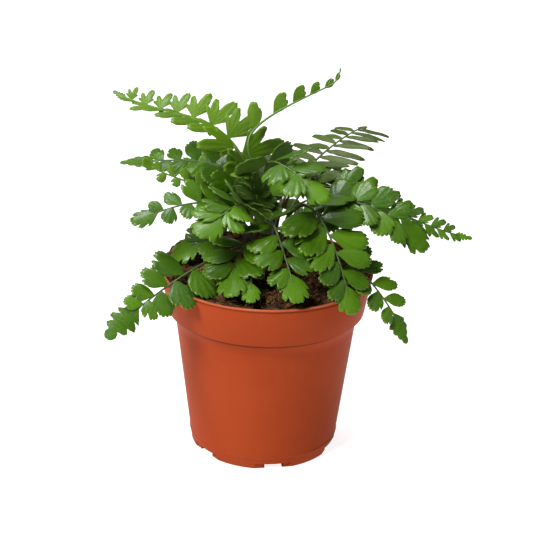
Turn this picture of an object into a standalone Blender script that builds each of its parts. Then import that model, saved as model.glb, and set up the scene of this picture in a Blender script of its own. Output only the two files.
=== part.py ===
"""A young fern in its nursery pot: pot, potting mix, crown and fronds, each one closed solid.

The origin is the middle of the pot's underside and +Z is up. The front of the plant faces -Y.
"""

import math
from dataclasses import dataclass

import bmesh
import bpy
from mathutils import Matrix, Vector, noise
from mathutils.bvhtree import BVHTree

MM = 0.001

# Pot: a 10.5 cm nursery pot.
POT_HEIGHT = 92.5 * MM
RIM_RADIUS = 52.5 * MM
LIP_HEIGHT = 1.2 * MM
LIP_PROUD = 0.4 * MM
COLLAR_HEIGHT = 20.0 * MM
COLLAR_FOOT_RADIUS = 49.0 * MM
COLLAR_LEDGE = 1.2 * MM
CHAMFER_HEIGHT = 8.1 * MM
SHOULDER_RADIUS = 44.7 * MM
BASE_RADIUS = 37.0 * MM
WALL = 1.1 * MM
FLOOR_THICKNESS = 4.2 * MM
POT_SEGMENTS = 48

# Drainage: channels under the pot, each with a hole through the floor.
CHANNEL_COUNT = 6
CHANNEL_TURN = math.radians(-81.0)
CHANNEL_HEIGHT = 2.8 * MM
NOTCH_HALF_WIDTH = 8.9 * MM
NOTCH_RADIUS = 35.7 * MM
CHANNEL_HALF_WIDTH = 4.4 * MM
CHANNEL_RADIUS = 22.0 * MM
DRAIN_RADIUS = 1.8 * MM
DRAIN_PLACE = 29.0 * MM
DRAIN_SEGMENTS = 10
CUT_PAST = 3.0 * MM

# Potting mix: it fills the pot, mounds up and is level under the crown.
GAP = 0.3 * MM
SOIL_FRONT_DEPTH = 3.2 * MM
SOIL_HEAP_RISE = 4.6 * MM
SOIL_HEAP_TURN = math.radians(160.0)
SOIL_TOP = 97.2 * MM
SOIL_LUMP = 1.1 * MM
SOIL_LUMP_SIZE = 7.0 * MM
SOIL_RINGS = 7
SOIL_SEGMENTS = 36

# Crown: a short dome that the stalks grow from.
CROWN_CENTRE = Vector((-1.0, 6.0, 0.0)) * MM
CROWN_RADIUS = 9.0 * MM
CROWN_HEIGHT = 8.0 * MM
CROWN_SEGMENTS = 16
CROWN_RINGS = 5
CROWN_PLATEAU = 1.35
STALK_STAND_OFF = 0.7 * MM

# Fronds.
MIDRIB_HALF_WIDTH = 0.55 * MM
MIDRIB_TIP_SHARE = 0.6
MIDRIB_THICKNESS = 1.0 * MM
BLADE_THICKNESS = 0.5 * MM
LEAFLET_STALK_HALF = 0.45 * MM
SAME_PLACE = 0.01 * MM
LONGEST_PLAIN_RUN = 9.0 * MM
CLEARANCE = 0.25 * MM
CURVE_STEPS = 120
CURL_STEP = 10.0
TEST_STEP = 3.0 * MM

# Leaflets: rows of (share of length, left edge, right edge as shares of width) from stalk to tip.
LEAFLET_ROWS = ((0.28, -0.34, 0.30), (0.62, -0.50, 0.50), (0.88, -0.30, 0.36))
END_LEAFLET_ROWS = ((0.22, 0.31), (0.5, 0.5), (0.8, 0.3))
END_LEAFLET_RATIO = 0.75
LEAFLET_DROOP = 0.10
LEAFLET_TWIST = 13.0
LEAFLET_CROWDING = 1.15
SWEEP_GAIN = 24.0
FIRST_SEAT = 0.4

# A leaflet without room first turns by one of these (lift, twist) pairs, then grows smaller.
TILT_TRIALS = (
    (0, 0),
    (12, 0),
    (-12, 0),
    (0, 16),
    (0, -30),
    (14, 16),
    (-14, -28),
    (26, 0),
    (-26, 0),
    (26, 20),
    (-30, -30),
)
SIZE_TRIALS = (1.0, 0.88, 0.75, 0.6, 0.45)

GREEN = (0.06, 0.22, 0.03)
BRIGHT_GREEN = (0.17, 0.38, 0.03)
TERRACOTTA = (0.52, 0.10, 0.03)
PEAT = (0.05, 0.026, 0.014)
SCALE_BROWN = (0.10, 0.06, 0.025)


@dataclass(frozen=True)
class Arch:
    """A frond's midrib as one bending line, in millimetres and degrees."""

    heading: float
    lean: float
    rise: float
    reach: float
    height: float
    pitch: float
    run: float
    swing: float = 0.0
    perch: float = 20.0
    curl: float = 0.0
    curl_radius: float = 4.0


@dataclass(frozen=True)
class Blade:
    """What grows along a midrib: leaflet count, sizes in millimetres and tilts in degrees."""

    bare: float = 0.35
    pairs: int = 5
    leaflet: float = 15.0
    ratio: float = 0.8
    end: float = 15.0
    roll: float = 0.0
    lift: float = 12.0
    sweep: float = 12.0
    taper: float = 0.4
    skew: float = 0.0
    one_sided: bool = False
    colour: tuple = GREEN


FRONDS = {
    "frond_upper_left": (
        Arch(151, 88, 75, 91, 167, 22, 39, 3, perch=60),
        Blade(
            0.27, 8, 24, 0.5, 10, roll=-14, lift=26, sweep=14, taper=0.70, skew=-17, colour=BRIGHT_GREEN
        ),
    ),
    "frond_crozier": (
        Arch(47, 88, 50, 44, 175.5, 15, 84, -14, perch=80, curl=80, curl_radius=8),
        Blade(
            0.46, 6, 15, 0.6, 3, roll=52, lift=4, sweep=56, taper=0.76, one_sided=True, colour=BRIGHT_GREEN
        ),
    ),
    "frond_back_right": (
        Arch(56, 88, 28, 95, 142, -12, 23, 7, perch=60),
        Blade(0.34, 8, 22, 0.3, 12, roll=0, lift=0, sweep=0, taper=0.4),
    ),
    "frond_back_right_low": (
        Arch(35, 88, 27, 59, 125, -52, 27, 1),
        Blade(0.42, 4, 15, 0.45, 15, lift=4),
    ),
    "frond_centre_right": (
        Arch(-53, 88, 22, 46, 138, -29, 67, 13, perch=60),
        Blade(0.40, 3, 19, 0.62, 16, roll=10, taper=0.3),
    ),
    "frond_far_right": (
        Arch(5, 88, 58, 104, 105, -12, 46, 3, perch=60),
        Blade(0.42, 8, 14, 0.5, 10, roll=35, sweep=30, taper=0.6),
    ),
    "frond_right": (
        Arch(-14, 70, 33, 80, 109, -45, 45, -4),
        Blade(0.36, 5, 14, 0.8, 17, roll=32),
    ),
    "frond_front_right": (
        Arch(-52, 76, 46, 67, 89, -54, 59, -16),
        Blade(0.40, 5, 24, 0.62, 12, roll=5, taper=0.55),
    ),
    "frond_right_low": (
        Arch(-33, 44, 34, 81, 71, -67, 26, 1),
        Blade(0.45, 4, 12, 0.65, 16, roll=10),
    ),
    "frond_front": (
        Arch(-75, 85, 7, 61, 97, -42, 73, 6),
        Blade(0.34, 4, 19, 0.70, 14),
    ),
    "frond_front_left": (
        Arch(-105, 82, 15, 56, 97, -33, 29, 23),
        Blade(0.28, 3, 20, 0.75, 16),
    ),
    "frond_left_low": (
        Arch(223, 70, 14, 97, 80, -40, 22, -1),
        Blade(0.39, 4, 19, 0.80, 21, roll=-35, taper=0.55),
    ),
    "frond_left_mid": (
        Arch(203, 60, 35, 69, 122, -16, 29, 0, perch=60),
        Blade(0.36, 4, 14, 0.75, 13, roll=-30, taper=0.5),
    ),
    "frond_centre_left": (
        Arch(238, 78, 42, 59, 125, -11, 34, -4),
        Blade(0.34, 4, 15, 0.8, 18, roll=-20, taper=0.2),
    ),
    "frond_left_upper": (
        Arch(166, 76, 40, 76, 137, -9, 70, 3),
        Blade(0.36, 4, 13, 0.75, 20, roll=-35),
    ),
    "frond_left_young": (
        Arch(186, 76, 41, 60, 147, 49, 19, -5),
        Blade(0.52, 4, 8, 0.7, 7, roll=-35, colour=BRIGHT_GREEN),
    ),
    "frond_left_inner": (
        Arch(197, 45, 14, 47, 98, -50, 16, 1, perch=10),
        Blade(0.40, 2, 14, 0.85, 16, roll=-25),
    ),
    "frond_seedling": (
        Arch(-96, 60, 16, 56, 95, -35, 30, 10, perch=5),
        Blade(0.50, 2, 8, 0.6, 11),
    ),
    "frond_left_back": (
        Arch(145, 70, 47, 58, 134, 6, 23, 4),
        Blade(0.40, 4, 13, 0.8, 14, roll=-25),
    ),
    "frond_centre_top": (
        Arch(235, 70, 40, 26, 144, -5, 16, 4, perch=80),
        Blade(0.45, 3, 13, 0.8, 14),
    ),
    "frond_back_right_inner": (
        Arch(66, 75, 40, 62, 118, -50, 30, 0),
        Blade(0.26, 6, 19, 0.7, 15),
    ),
    "frond_back": (
        Arch(92, 65, 40, 76, 106, -55, 34, 4, perch=60),
        Blade(0.26, 6, 19, 0.7, 16),
    ),
    "frond_back_left": (
        Arch(120, 72, 38, 66, 112, -50, 30, -4),
        Blade(0.26, 6, 19, 0.7, 15),
    ),
    "frond_inner_right": (
        Arch(-1, 60, 24, 50, 116, -30, 20, 0, perch=10),
        Blade(0.40, 3, 14, 0.8, 14, roll=15),
    ),
}


def clear_objects():
    """Empty the scene without closing the file."""
    for thing in list(bpy.data.objects):
        bpy.data.objects.remove(thing, do_unlink=True)


def finish(name, colour, roughness):
    """A plain Principled material."""
    material = bpy.data.materials.new(name)
    material.use_nodes = True
    shader = material.node_tree.nodes["Principled BSDF"]
    shader.inputs["Base Color"].default_value = (*colour, 1.0)
    shader.inputs["Roughness"].default_value = roughness
    shader.inputs["Metallic"].default_value = 0.0
    return material


def object_from(mesh_builder, name, material):
    """Turn a bmesh into a named object with its material, and free the bmesh."""
    mesh = bpy.data.meshes.new(name)
    mesh_builder.to_mesh(mesh)
    mesh_builder.free()
    mesh.materials.append(material)
    thing = bpy.data.objects.new(name, mesh)
    bpy.context.scene.collection.objects.link(thing)
    return thing


def turned(profile, segments):
    """Spin a closed profile of (radius, height) points round Z into a solid."""
    body = bmesh.new()
    points = [body.verts.new((radius, 0.0, height)) for radius, height in profile]
    edges = [body.edges.new(pair) for pair in zip(points, points[1:])]
    bmesh.ops.spin(
        body,
        geom=points + edges,
        cent=(0.0, 0.0, 0.0),
        axis=(0.0, 0.0, 1.0),
        angle=math.tau,
        steps=segments,
        use_merge=False,
    )
    bmesh.ops.remove_doubles(body, verts=body.verts, dist=0.01 * MM)
    bmesh.ops.recalc_face_normals(body, faces=body.faces)
    return body


def wall_radius(height):
    """The pot's outer radius at a height below the collar's foot."""
    shoulder_height = POT_HEIGHT - COLLAR_HEIGHT - CHAMFER_HEIGHT
    share = height / shoulder_height
    return BASE_RADIUS + (SHOULDER_RADIUS - BASE_RADIUS) * share


def build_pot():
    """The moulded pot: a tapered wall, a stepped collar with a lip, and a drained floor."""
    foot = POT_HEIGHT - COLLAR_HEIGHT
    shoulder = foot - CHAMFER_HEIGHT
    lip = POT_HEIGHT - LIP_HEIGHT
    inner_rim = RIM_RADIUS - LIP_PROUD - WALL
    profile = [
        (0.0, 0.0),
        (BASE_RADIUS, 0.0),
        (SHOULDER_RADIUS, shoulder),
        (COLLAR_FOOT_RADIUS - COLLAR_LEDGE, foot),
        (COLLAR_FOOT_RADIUS, foot),
        (RIM_RADIUS - LIP_PROUD, lip),
        (RIM_RADIUS, lip),
        (RIM_RADIUS, POT_HEIGHT),
        (inner_rim, POT_HEIGHT),
        (COLLAR_FOOT_RADIUS - WALL - COLLAR_LEDGE, foot),
        (SHOULDER_RADIUS - WALL, shoulder),
        (wall_radius(FLOOR_THICKNESS) - WALL, FLOOR_THICKNESS),
        (0.0, FLOOR_THICKNESS),
    ]
    pot = object_from(turned(profile, POT_SEGMENTS), "pot", finish("pot", TERRACOTTA, 0.45))
    for cutter in (channel_cutter(), drain_cutter()):
        cut = pot.modifiers.new(cutter.name, "BOOLEAN")
        cut.operation = "DIFFERENCE"
        cut.object = cutter
    return pot


def hide_as_cutter(cutter):
    """Mark a tool shape so that it isn't part of the object."""
    cutter.hide_render = True
    cutter.display_type = "WIRE"
    return cutter


def channel_cutter():
    """Six stepped bars: a wide notch in the pot's bottom edge with a narrower channel behind it."""
    tool = bmesh.new()
    outer = BASE_RADIUS + CUT_PAST
    outline = [
        (CHANNEL_RADIUS, -CHANNEL_HALF_WIDTH),
        (NOTCH_RADIUS, -CHANNEL_HALF_WIDTH),
        (NOTCH_RADIUS, -NOTCH_HALF_WIDTH),
        (outer, -NOTCH_HALF_WIDTH),
        (outer, NOTCH_HALF_WIDTH),
        (NOTCH_RADIUS, NOTCH_HALF_WIDTH),
        (NOTCH_RADIUS, CHANNEL_HALF_WIDTH),
        (CHANNEL_RADIUS, CHANNEL_HALF_WIDTH),
    ]
    for turn in channel_turns():
        spin = Matrix.Rotation(turn, 3, "Z")
        floor = [tool.verts.new(spin @ Vector((x, y, -CUT_PAST))) for x, y in outline]
        sole = tool.faces.new(floor)
        risen = bmesh.ops.extrude_face_region(tool, geom=[sole])["geom"]
        top = [item for item in risen if isinstance(item, bmesh.types.BMVert)]
        bmesh.ops.translate(tool, verts=top, vec=(0.0, 0.0, CHANNEL_HEIGHT + CUT_PAST))
    bmesh.ops.recalc_face_normals(tool, faces=tool.faces)
    return hide_as_cutter(object_from(tool, "channel_cutter", finish("cutter", PEAT, 1.0)))


def channel_turns():
    """The angle of each drainage channel round the pot."""
    return [CHANNEL_TURN + math.tau * index / CHANNEL_COUNT for index in range(CHANNEL_COUNT)]


def drain_cutter():
    """Six pins that leave a hole from each channel into the pot."""
    tool = bmesh.new()
    for turn in channel_turns():
        place = Vector((math.cos(turn), math.sin(turn), 0.0)) * DRAIN_PLACE
        place.z = FLOOR_THICKNESS
        bmesh.ops.create_cone(
            tool,
            cap_ends=True,
            segments=DRAIN_SEGMENTS,
            radius1=DRAIN_RADIUS,
            radius2=DRAIN_RADIUS,
            depth=2.0 * FLOOR_THICKNESS - CHANNEL_HEIGHT,
            matrix=Matrix.Translation(place),
        )
    return hide_as_cutter(object_from(tool, "drain_cutter", finish("pin", PEAT, 1.0)))


def soil_edge_height(turn):
    """How high the mix meets the wall: low at the front and heaped above the rim at the left."""
    heap = ((1.0 + math.cos(turn - SOIL_HEAP_TURN)) / 2.0) ** 3
    return POT_HEIGHT - SOIL_FRONT_DEPTH + (SOIL_FRONT_DEPTH + SOIL_HEAP_RISE) * heap


def soil_height(place, turn, share):
    """The mix's surface: a rounded mound with lumps, level under the crown."""
    edge = soil_edge_height(turn)
    mound = edge + (SOIL_TOP - edge) * (1.0 - share**3)
    lump = noise.noise(place / SOIL_LUMP_SIZE) * SOIL_LUMP
    from_crown = (place - CROWN_CENTRE).xy.length / (CROWN_RADIUS * CROWN_PLATEAU)
    level = min(1.0, max(0.0, 2.0 - from_crown))
    return (mound + lump) * (1.0 - level) + SOIL_TOP * level


def build_soil():
    """Potting mix: the pot's inner shape below and the mound above."""
    body = bmesh.new()
    foot = POT_HEIGHT - COLLAR_HEIGHT
    sides = [
        (wall_radius(FLOOR_THICKNESS) - WALL - 2.0 * GAP, FLOOR_THICKNESS + GAP),
        (SHOULDER_RADIUS - WALL - 2.0 * GAP, foot - CHAMFER_HEIGHT),
        (COLLAR_FOOT_RADIUS - WALL - COLLAR_LEDGE - 2.0 * GAP, foot),
    ]
    top_radius = RIM_RADIUS - LIP_PROUD - WALL - 4.0 * GAP
    turns = [math.tau * index / SOIL_SEGMENTS for index in range(SOIL_SEGMENTS)]
    rings = []
    for radius, height in sides:
        ring = [(radius * math.cos(turn), radius * math.sin(turn), height) for turn in turns]
        rings.append([body.verts.new(point) for point in ring])
    for index in range(SOIL_RINGS):
        share = 1.0 - index / SOIL_RINGS
        ring = []
        for turn in turns:
            place = Vector((math.cos(turn), math.sin(turn), 0.0)) * top_radius * share
            place.z = soil_height(place, turn, share)
            ring.append(body.verts.new(place))
        rings.append(ring)
    for lower, upper in zip(rings, rings[1:]):
        for index in range(SOIL_SEGMENTS):
            after = (index + 1) % SOIL_SEGMENTS
            body.faces.new((lower[index], lower[after], upper[after], upper[index]))
    underside = body.verts.new((0.0, 0.0, sides[0][1]))
    peak = body.verts.new((0.0, 0.0, SOIL_TOP))
    for index in range(SOIL_SEGMENTS):
        after = (index + 1) % SOIL_SEGMENTS
        body.faces.new((rings[0][after], rings[0][index], underside))
        body.faces.new((rings[-1][index], rings[-1][after], peak))
    return object_from(body, "potting_mix", finish("potting_mix", PEAT, 0.95))


def build_crown():
    """The crown: a low dome on the mix."""
    base = SOIL_TOP + GAP
    profile = [(0.0, base)]
    for index in range(CROWN_RINGS + 1):
        turn = math.pi / 2.0 * index / CROWN_RINGS
        profile.append((CROWN_RADIUS * math.cos(turn), base + CROWN_HEIGHT * math.sin(turn)))
    profile[-1] = (0.0, base + CROWN_HEIGHT)
    crown = turned(profile, CROWN_SEGMENTS)
    bmesh.ops.translate(crown, verts=crown.verts, vec=CROWN_CENTRE)
    return object_from(crown, "crown", finish("crown", SCALE_BROWN, 0.8))


def direction(heading, pitch):
    """The unit vector at a compass angle and an angle above the level, in degrees."""
    turn, rise = math.radians(heading), math.radians(pitch)
    flat = math.cos(rise)
    return Vector((math.cos(turn) * flat, math.sin(turn) * flat, math.sin(rise)))


def midrib_points(arch):
    """Evenly timed points along a frond's cubic curve, and its curled end if it has one."""
    outward = direction(arch.heading, 0.0)
    perch = math.radians(arch.perch)
    start = CROWN_CENTRE + outward * (CROWN_RADIUS + STALK_STAND_OFF) * math.cos(perch)
    start.z = SOIL_TOP + GAP + (CROWN_HEIGHT + STALK_STAND_OFF) * math.sin(perch)
    climb = start + direction(arch.heading, arch.lean) * arch.rise * MM
    tip = CROWN_CENTRE + outward * arch.reach * MM
    tip.z = arch.height * MM
    forward = direction(arch.heading + arch.swing, arch.pitch)
    approach = tip - forward * arch.run * MM
    points = []
    for index in range(CURVE_STEPS + 1):
        t = index / CURVE_STEPS
        s = 1.0 - t
        points.append(s**3 * start + 3 * s * s * t * climb + 3 * s * t * t * approach + t**3 * tip)
    upward = (Vector((0.0, 0.0, 1.0)) - forward * forward.z).normalized()
    steps = int(arch.curl / CURL_STEP)
    for index in range(1, steps + 1):
        turn = math.radians(arch.curl) * index / steps
        side = forward * math.sin(turn) + upward * (1.0 - math.cos(turn))
        points.append(tip + side * arch.curl_radius * MM)
    return points


class Midrib:
    """A frond's line by arc length, with a frame of tangent, side and normal."""

    def __init__(self, arch, roll):
        self.points = midrib_points(arch)
        self.lengths = [0.0]
        for here, after in zip(self.points, self.points[1:]):
            self.lengths.append(self.lengths[-1] + (after - here).length)
        self.length = self.lengths[-1]
        turn = math.radians(arch.heading)
        self.level_side = Vector((math.sin(turn), -math.cos(turn), 0.0))
        self.roll = math.radians(roll)

    def place(self, distance):
        """The point at a distance from the crown."""
        distance = min(max(distance, 0.0), self.length)
        index = 1
        while index < len(self.lengths) - 1 and self.lengths[index] < distance:
            index += 1
        before, after = self.lengths[index - 1], self.lengths[index]
        share = (distance - before) / (after - before)
        return self.points[index - 1].lerp(self.points[index], share)

    def frame(self, distance):
        """Tangent, right-hand side and upward normal there."""
        step = 1.0 * MM
        tangent = (self.place(distance + step) - self.place(distance - step)).normalized()
        side = self.level_side - tangent * self.level_side.dot(tangent)
        side.normalize()
        side = Matrix.Rotation(self.roll, 3, tangent) @ side
        return tangent, side, side.cross(tangent).normalized()


@dataclass
class Leaflet:
    """One leaflet's seat on the midrib and its size."""

    distance: float
    side: int
    length: float
    width: float
    sweep: float
    lift: float
    twist: float


def leaflet_corners(midrib, leaflet, half_width):
    """Rows of (left, right) points from the stalk outwards, and the tip point."""
    tangent, side, normal = midrib.frame(leaflet.distance)
    outward = side * leaflet.side
    sweep, lift = math.radians(leaflet.sweep), math.radians(leaflet.lift)
    along = (outward * math.cos(sweep) + tangent * math.sin(sweep)).normalized()
    along = (along * math.cos(lift) + normal * math.sin(lift)).normalized()
    across = (tangent - along * tangent.dot(along)).normalized()
    across = Matrix.Rotation(math.radians(leaflet.twist) * leaflet.side, 3, along) @ across
    face = along.cross(across).normalized()
    if face.dot(normal) < 0.0:
        face.negate()
    seat = midrib.place(leaflet.distance) + outward * half_width
    rows = []
    for out, low, high in LEAFLET_ROWS:
        droop = -LEAFLET_DROOP * out * out * leaflet.length
        middle = seat + along * out * leaflet.length + face * droop
        rows.append((middle + across * low * leaflet.width, middle + across * high * leaflet.width))
    tip = seat + (along - face * LEAFLET_DROOP) * leaflet.length
    return seat, rows, tip, face, across


def padded_shell(ring, face, pad):
    """A thin box round a closed ring of points, for testing room."""
    centre = sum(ring, Vector()) / len(ring)
    grown = [point + (point - centre).normalized() * pad for point in ring]
    upper = [point + face * pad for point in grown]
    lower = [point - face * pad for point in grown]
    count = len(ring)
    vertices = upper + lower
    polygons = [tuple(range(count)), tuple(range(2 * count - 1, count - 1, -1))]
    for index in range(count):
        after = (index + 1) % count
        polygons.append((index, after, count + after, count + index))
    return vertices, polygons


class Room:
    """What is already built, so that a new leaflet can be tested for room."""

    def __init__(self):
        self.taken = []

    def add(self, vertices, polygons, owner=""):
        """Take up the space of a shell."""
        self.taken.append((bounds(vertices), BVHTree.FromPolygons(vertices, polygons), owner))

    def is_free(self, vertices, polygons, owner=None):
        """Whether a shell touches nothing but its owner's own midrib."""
        low, high = bounds(vertices)
        shell = None
        for (other_low, other_high), other, name in self.taken:
            apart = any(low[k] > other_high[k] or high[k] < other_low[k] for k in range(3))
            if apart or name == owner:
                continue
            shell = shell or BVHTree.FromPolygons(vertices, polygons)
            if shell.overlap(other):
                return False
        return True


def bounds(vertices):
    """Lowest and highest corners of some points."""
    low = [min(point[k] for point in vertices) for k in range(3)]
    high = [max(point[k] for point in vertices) for k in range(3)]
    return low, high


def leaflet_shell(midrib, leaflet, half_width):
    """The padded shell of one leaflet."""
    seat, rows, tip, face, across = leaflet_corners(midrib, leaflet, half_width)
    stalk = across * LEAFLET_STALK_HALF
    return padded_shell(blade_ring(seat, stalk, rows, tip), face, BLADE_THICKNESS / 2.0 + CLEARANCE)


def blade_ring(seat, stalk, rows, tip):
    """The outline of a leaflet as one closed ring of points."""
    right = [row[1] for row in rows]
    left = [row[0] for row in reversed(rows)]
    return [seat + stalk, *right, tip, *left, seat - stalk]


def midrib_shell(midrib, start, end):
    """A square tube round a stretch of midrib, for testing room."""
    pad = MIDRIB_HALF_WIDTH + CLEARANCE
    steps = max(2, int((end - start) / TEST_STEP))
    vertices, polygons = [], []
    for index in range(steps + 1):
        distance = start + (end - start) * index / steps
        _, side, normal = midrib.frame(distance)
        middle = midrib.place(distance)
        for right, up in ((1, 1), (-1, 1), (-1, -1), (1, -1)):
            vertices.append(middle + side * pad * right + normal * pad * up)
    for index in range(steps):
        for corner in range(4):
            after = (corner + 1) % 4
            here = 4 * index
            polygons.append((here + corner, here + after, here + 4 + after, here + 4 + corner))
    return vertices, polygons


def planned_leaflets(midrib, blade):
    """Leaflets alternate from side to side and shorten towards the tip."""
    first = blade.bare * midrib.length
    last = midrib.length - blade.end * MM
    spacing = (last - first) / blade.pairs
    leaflets = []
    for index in range(2 * blade.pairs):
        side = 1 if index % 2 else -1
        if blade.one_sided and side > 0:
            continue
        share = (index + 0.5) / (2.0 * blade.pairs)
        length = blade.leaflet * MM * (1.0 - blade.taper * share)
        leaflets.append(
            Leaflet(
                distance=first + spacing * (index + FIRST_SEAT) / 2.0,
                side=side,
                length=length,
                width=min(length * blade.ratio, spacing * LEAFLET_CROWDING),
                sweep=blade.sweep + side * blade.skew + SWEEP_GAIN * share,
                lift=blade.lift,
                twist=LEAFLET_TWIST,
            )
        )
    return leaflets


def settle_leaflets(name, midrib, blade, room):
    """Turn, then shrink, each leaflet until it has room; one with none doesn't grow."""
    settled = []
    for plan in planned_leaflets(midrib, blade):
        found = fit_leaflet(name, midrib, plan, room)
        if found:
            settled.append(found)
    return settled


def fit_leaflet(name, midrib, plan, room):
    """The first trial of a leaflet that touches nothing, or None."""
    for size in SIZE_TRIALS:
        for lift, twist in TILT_TRIALS:
            trial = Leaflet(
                plan.distance,
                plan.side,
                plan.length * size,
                plan.width * size,
                plan.sweep,
                plan.lift + lift,
                plan.twist + twist,
            )
            shell = leaflet_shell(midrib, trial, MIDRIB_HALF_WIDTH + CLEARANCE)
            if room.is_free(*shell, owner=name):
                room.add(*shell)
                return trial
    return None


def end_leaflet_rows(midrib, blade):
    """The last leaflet lies along the midrib's own line: rows of left and right points."""
    start = midrib.length - blade.end * MM
    width = blade.end * MM * min(END_LEAFLET_RATIO, blade.ratio)
    rows = []
    for share, spread in END_LEAFLET_ROWS:
        distance = start + share * blade.end * MM
        _, side, _ = midrib.frame(distance)
        middle = midrib.place(distance)
        rows.append((middle - side * width * spread, middle + side * width * spread))
    return rows, midrib.place(midrib.length)


def end_leaflet_shell(midrib, blade):
    """The padded shell of the last leaflet."""
    rows, tip = end_leaflet_rows(midrib, blade)
    _, side, face = midrib.frame(midrib.length - blade.end * MM / 2.0)
    seat = midrib.place(midrib.length - blade.end * MM)
    stalk = side * MIDRIB_HALF_WIDTH
    return padded_shell(blade_ring(seat, stalk, rows, tip), face, BLADE_THICKNESS / 2.0 + CLEARANCE)


def edge_distances(midrib, leaflets, side, end):
    """Distances of one edge's corners: both sides of each leaflet's stalk, and a few between."""
    own = sorted(leaf.distance for leaf in leaflets if leaf.side == side)
    corners = [0.0]
    for seat in own + [end]:
        goal = seat if seat == end else seat - LEAFLET_STALK_HALF
        gap = goal - corners[-1]
        pieces = int(gap / LONGEST_PLAIN_RUN) + 1
        corners += [corners[-1] + gap * index / pieces for index in range(1, pieces)]
        corners.append(goal)
        if seat != end:
            corners.append(seat + LEAFLET_STALK_HALF)
    return corners


def build_frond(name, midrib, blade, leaflets):
    """One sheet of midrib and leaflets, given its thickness by a Solidify modifier."""
    sheet = bmesh.new()
    end = midrib.length - blade.end * MM
    edges = {}
    for side in (-1, 1):
        corners = []
        for distance in edge_distances(midrib, leaflets, side, end):
            half = MIDRIB_HALF_WIDTH * (1.0 - (1.0 - MIDRIB_TIP_SHARE) * distance / end)
            _, right, _ = midrib.frame(distance)
            corners.append((distance, sheet.verts.new(midrib.place(distance) + right * half * side)))
        edges[side] = corners
    fill_between(sheet, edges[-1], edges[1])
    sheet.verts.index_update()
    ribs = [corner.index for side in edges for _, corner in edges[side]]
    for leaf in leaflets:
        reach = LEAFLET_STALK_HALF + SAME_PLACE
        base = [corner for distance, corner in edges[leaf.side] if abs(distance - leaf.distance) < reach]
        grow_leaflet(sheet, midrib, leaf, base)
    rows, tip = end_leaflet_rows(midrib, blade)
    grow_rows(sheet, (edges[-1][-1][1], edges[1][-1][1]), rows, tip)
    bmesh.ops.triangulate(sheet, faces=sheet.faces)
    frond = object_from(sheet, name, finish(name, blade.colour, 0.4))
    thicken(frond, ribs)
    return frond


def fill_between(sheet, left, right):
    """Triangles between the midrib's two edges, always stepping along the nearer one."""
    i = j = 0
    while i < len(left) - 1 or j < len(right) - 1:
        step_left = j == len(right) - 1 or (i < len(left) - 1 and left[i + 1][0] <= right[j + 1][0])
        if step_left:
            sheet.faces.new((left[i][1], right[j][1], left[i + 1][1]))
            i += 1
        else:
            sheet.faces.new((left[i][1], right[j][1], right[j + 1][1]))
            j += 1


def grow_leaflet(sheet, midrib, leaf, base):
    """Join one leaflet's rows to its two corners on the midrib's edge."""
    half = MIDRIB_HALF_WIDTH
    _, rows, tip, _, _ = leaflet_corners(midrib, leaf, half)
    near, far = base
    if leaf.side > 0:
        near, far = far, near
        rows = [(high, low) for low, high in rows]
    grow_rows(sheet, (near, far), rows, tip)


def grow_rows(sheet, base, rows, tip):
    """Faces from a base edge through rows of two points to a tip."""
    left, right = base
    for row_left, row_right in rows:
        next_left, next_right = sheet.verts.new(row_left), sheet.verts.new(row_right)
        sheet.faces.new((left, right, next_right, next_left))
        left, right = next_left, next_right
    sheet.faces.new((left, right, sheet.verts.new(tip)))


def thicken(frond, ribs):
    """Leaf-thin blades and a stouter midrib from one Solidify modifier."""
    group = frond.vertex_groups.new(name="midrib")
    group.add(ribs, 1.0, "REPLACE")
    solid = frond.modifiers.new("thickness", "SOLIDIFY")
    solid.thickness = MIDRIB_THICKNESS
    solid.offset = 0.0
    solid.vertex_group = group.name
    solid.thickness_vertex_group = BLADE_THICKNESS / MIDRIB_THICKNESS


def surface_of(thing):
    """An object's evaluated vertices and polygons."""
    depsgraph = bpy.context.evaluated_depsgraph_get()
    shape = thing.evaluated_get(depsgraph).to_mesh()
    vertices = [vertex.co.copy() for vertex in shape.vertices]
    polygons = [tuple(polygon.vertices) for polygon in shape.polygons]
    return vertices, polygons


def main():
    """Build the pot and what fills it, then every frond in the room that is left."""
    clear_objects()
    room = Room()
    for thing in (build_pot(), build_soil(), build_crown()):
        room.add(*surface_of(thing), owner=thing.name)
    midribs = {}
    for name, (arch, blade) in FRONDS.items():
        midrib = Midrib(arch, blade.roll)
        midribs[name] = midrib
        end = midrib.length - blade.end * MM
        room.add(*midrib_shell(midrib, 0.0, end), owner=name)
        room.add(*end_leaflet_shell(midrib, blade))
    for name, (arch, blade) in FRONDS.items():
        leaflets = settle_leaflets(name, midribs[name], blade, room)
        build_frond(name, midribs[name], blade, leaflets)


if __name__ == "__main__":
    main()
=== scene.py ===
"""A young mother fern in a terracotta-coloured nursery pot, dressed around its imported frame.

Every class below is one sub-assembly of the plant: the pot, the potting mix with its crumbs and
coir, the crown with its scales, and the fronds. Sizes are in metres unless a name says otherwise.
"""

import logging
import math
import random
from dataclasses import dataclass, field, replace
from enum import Enum
from typing import Any, Iterable, Sequence

import bpy
from mathutils import Matrix, Vector, noise
from mathutils.bvhtree import BVHTree


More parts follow.
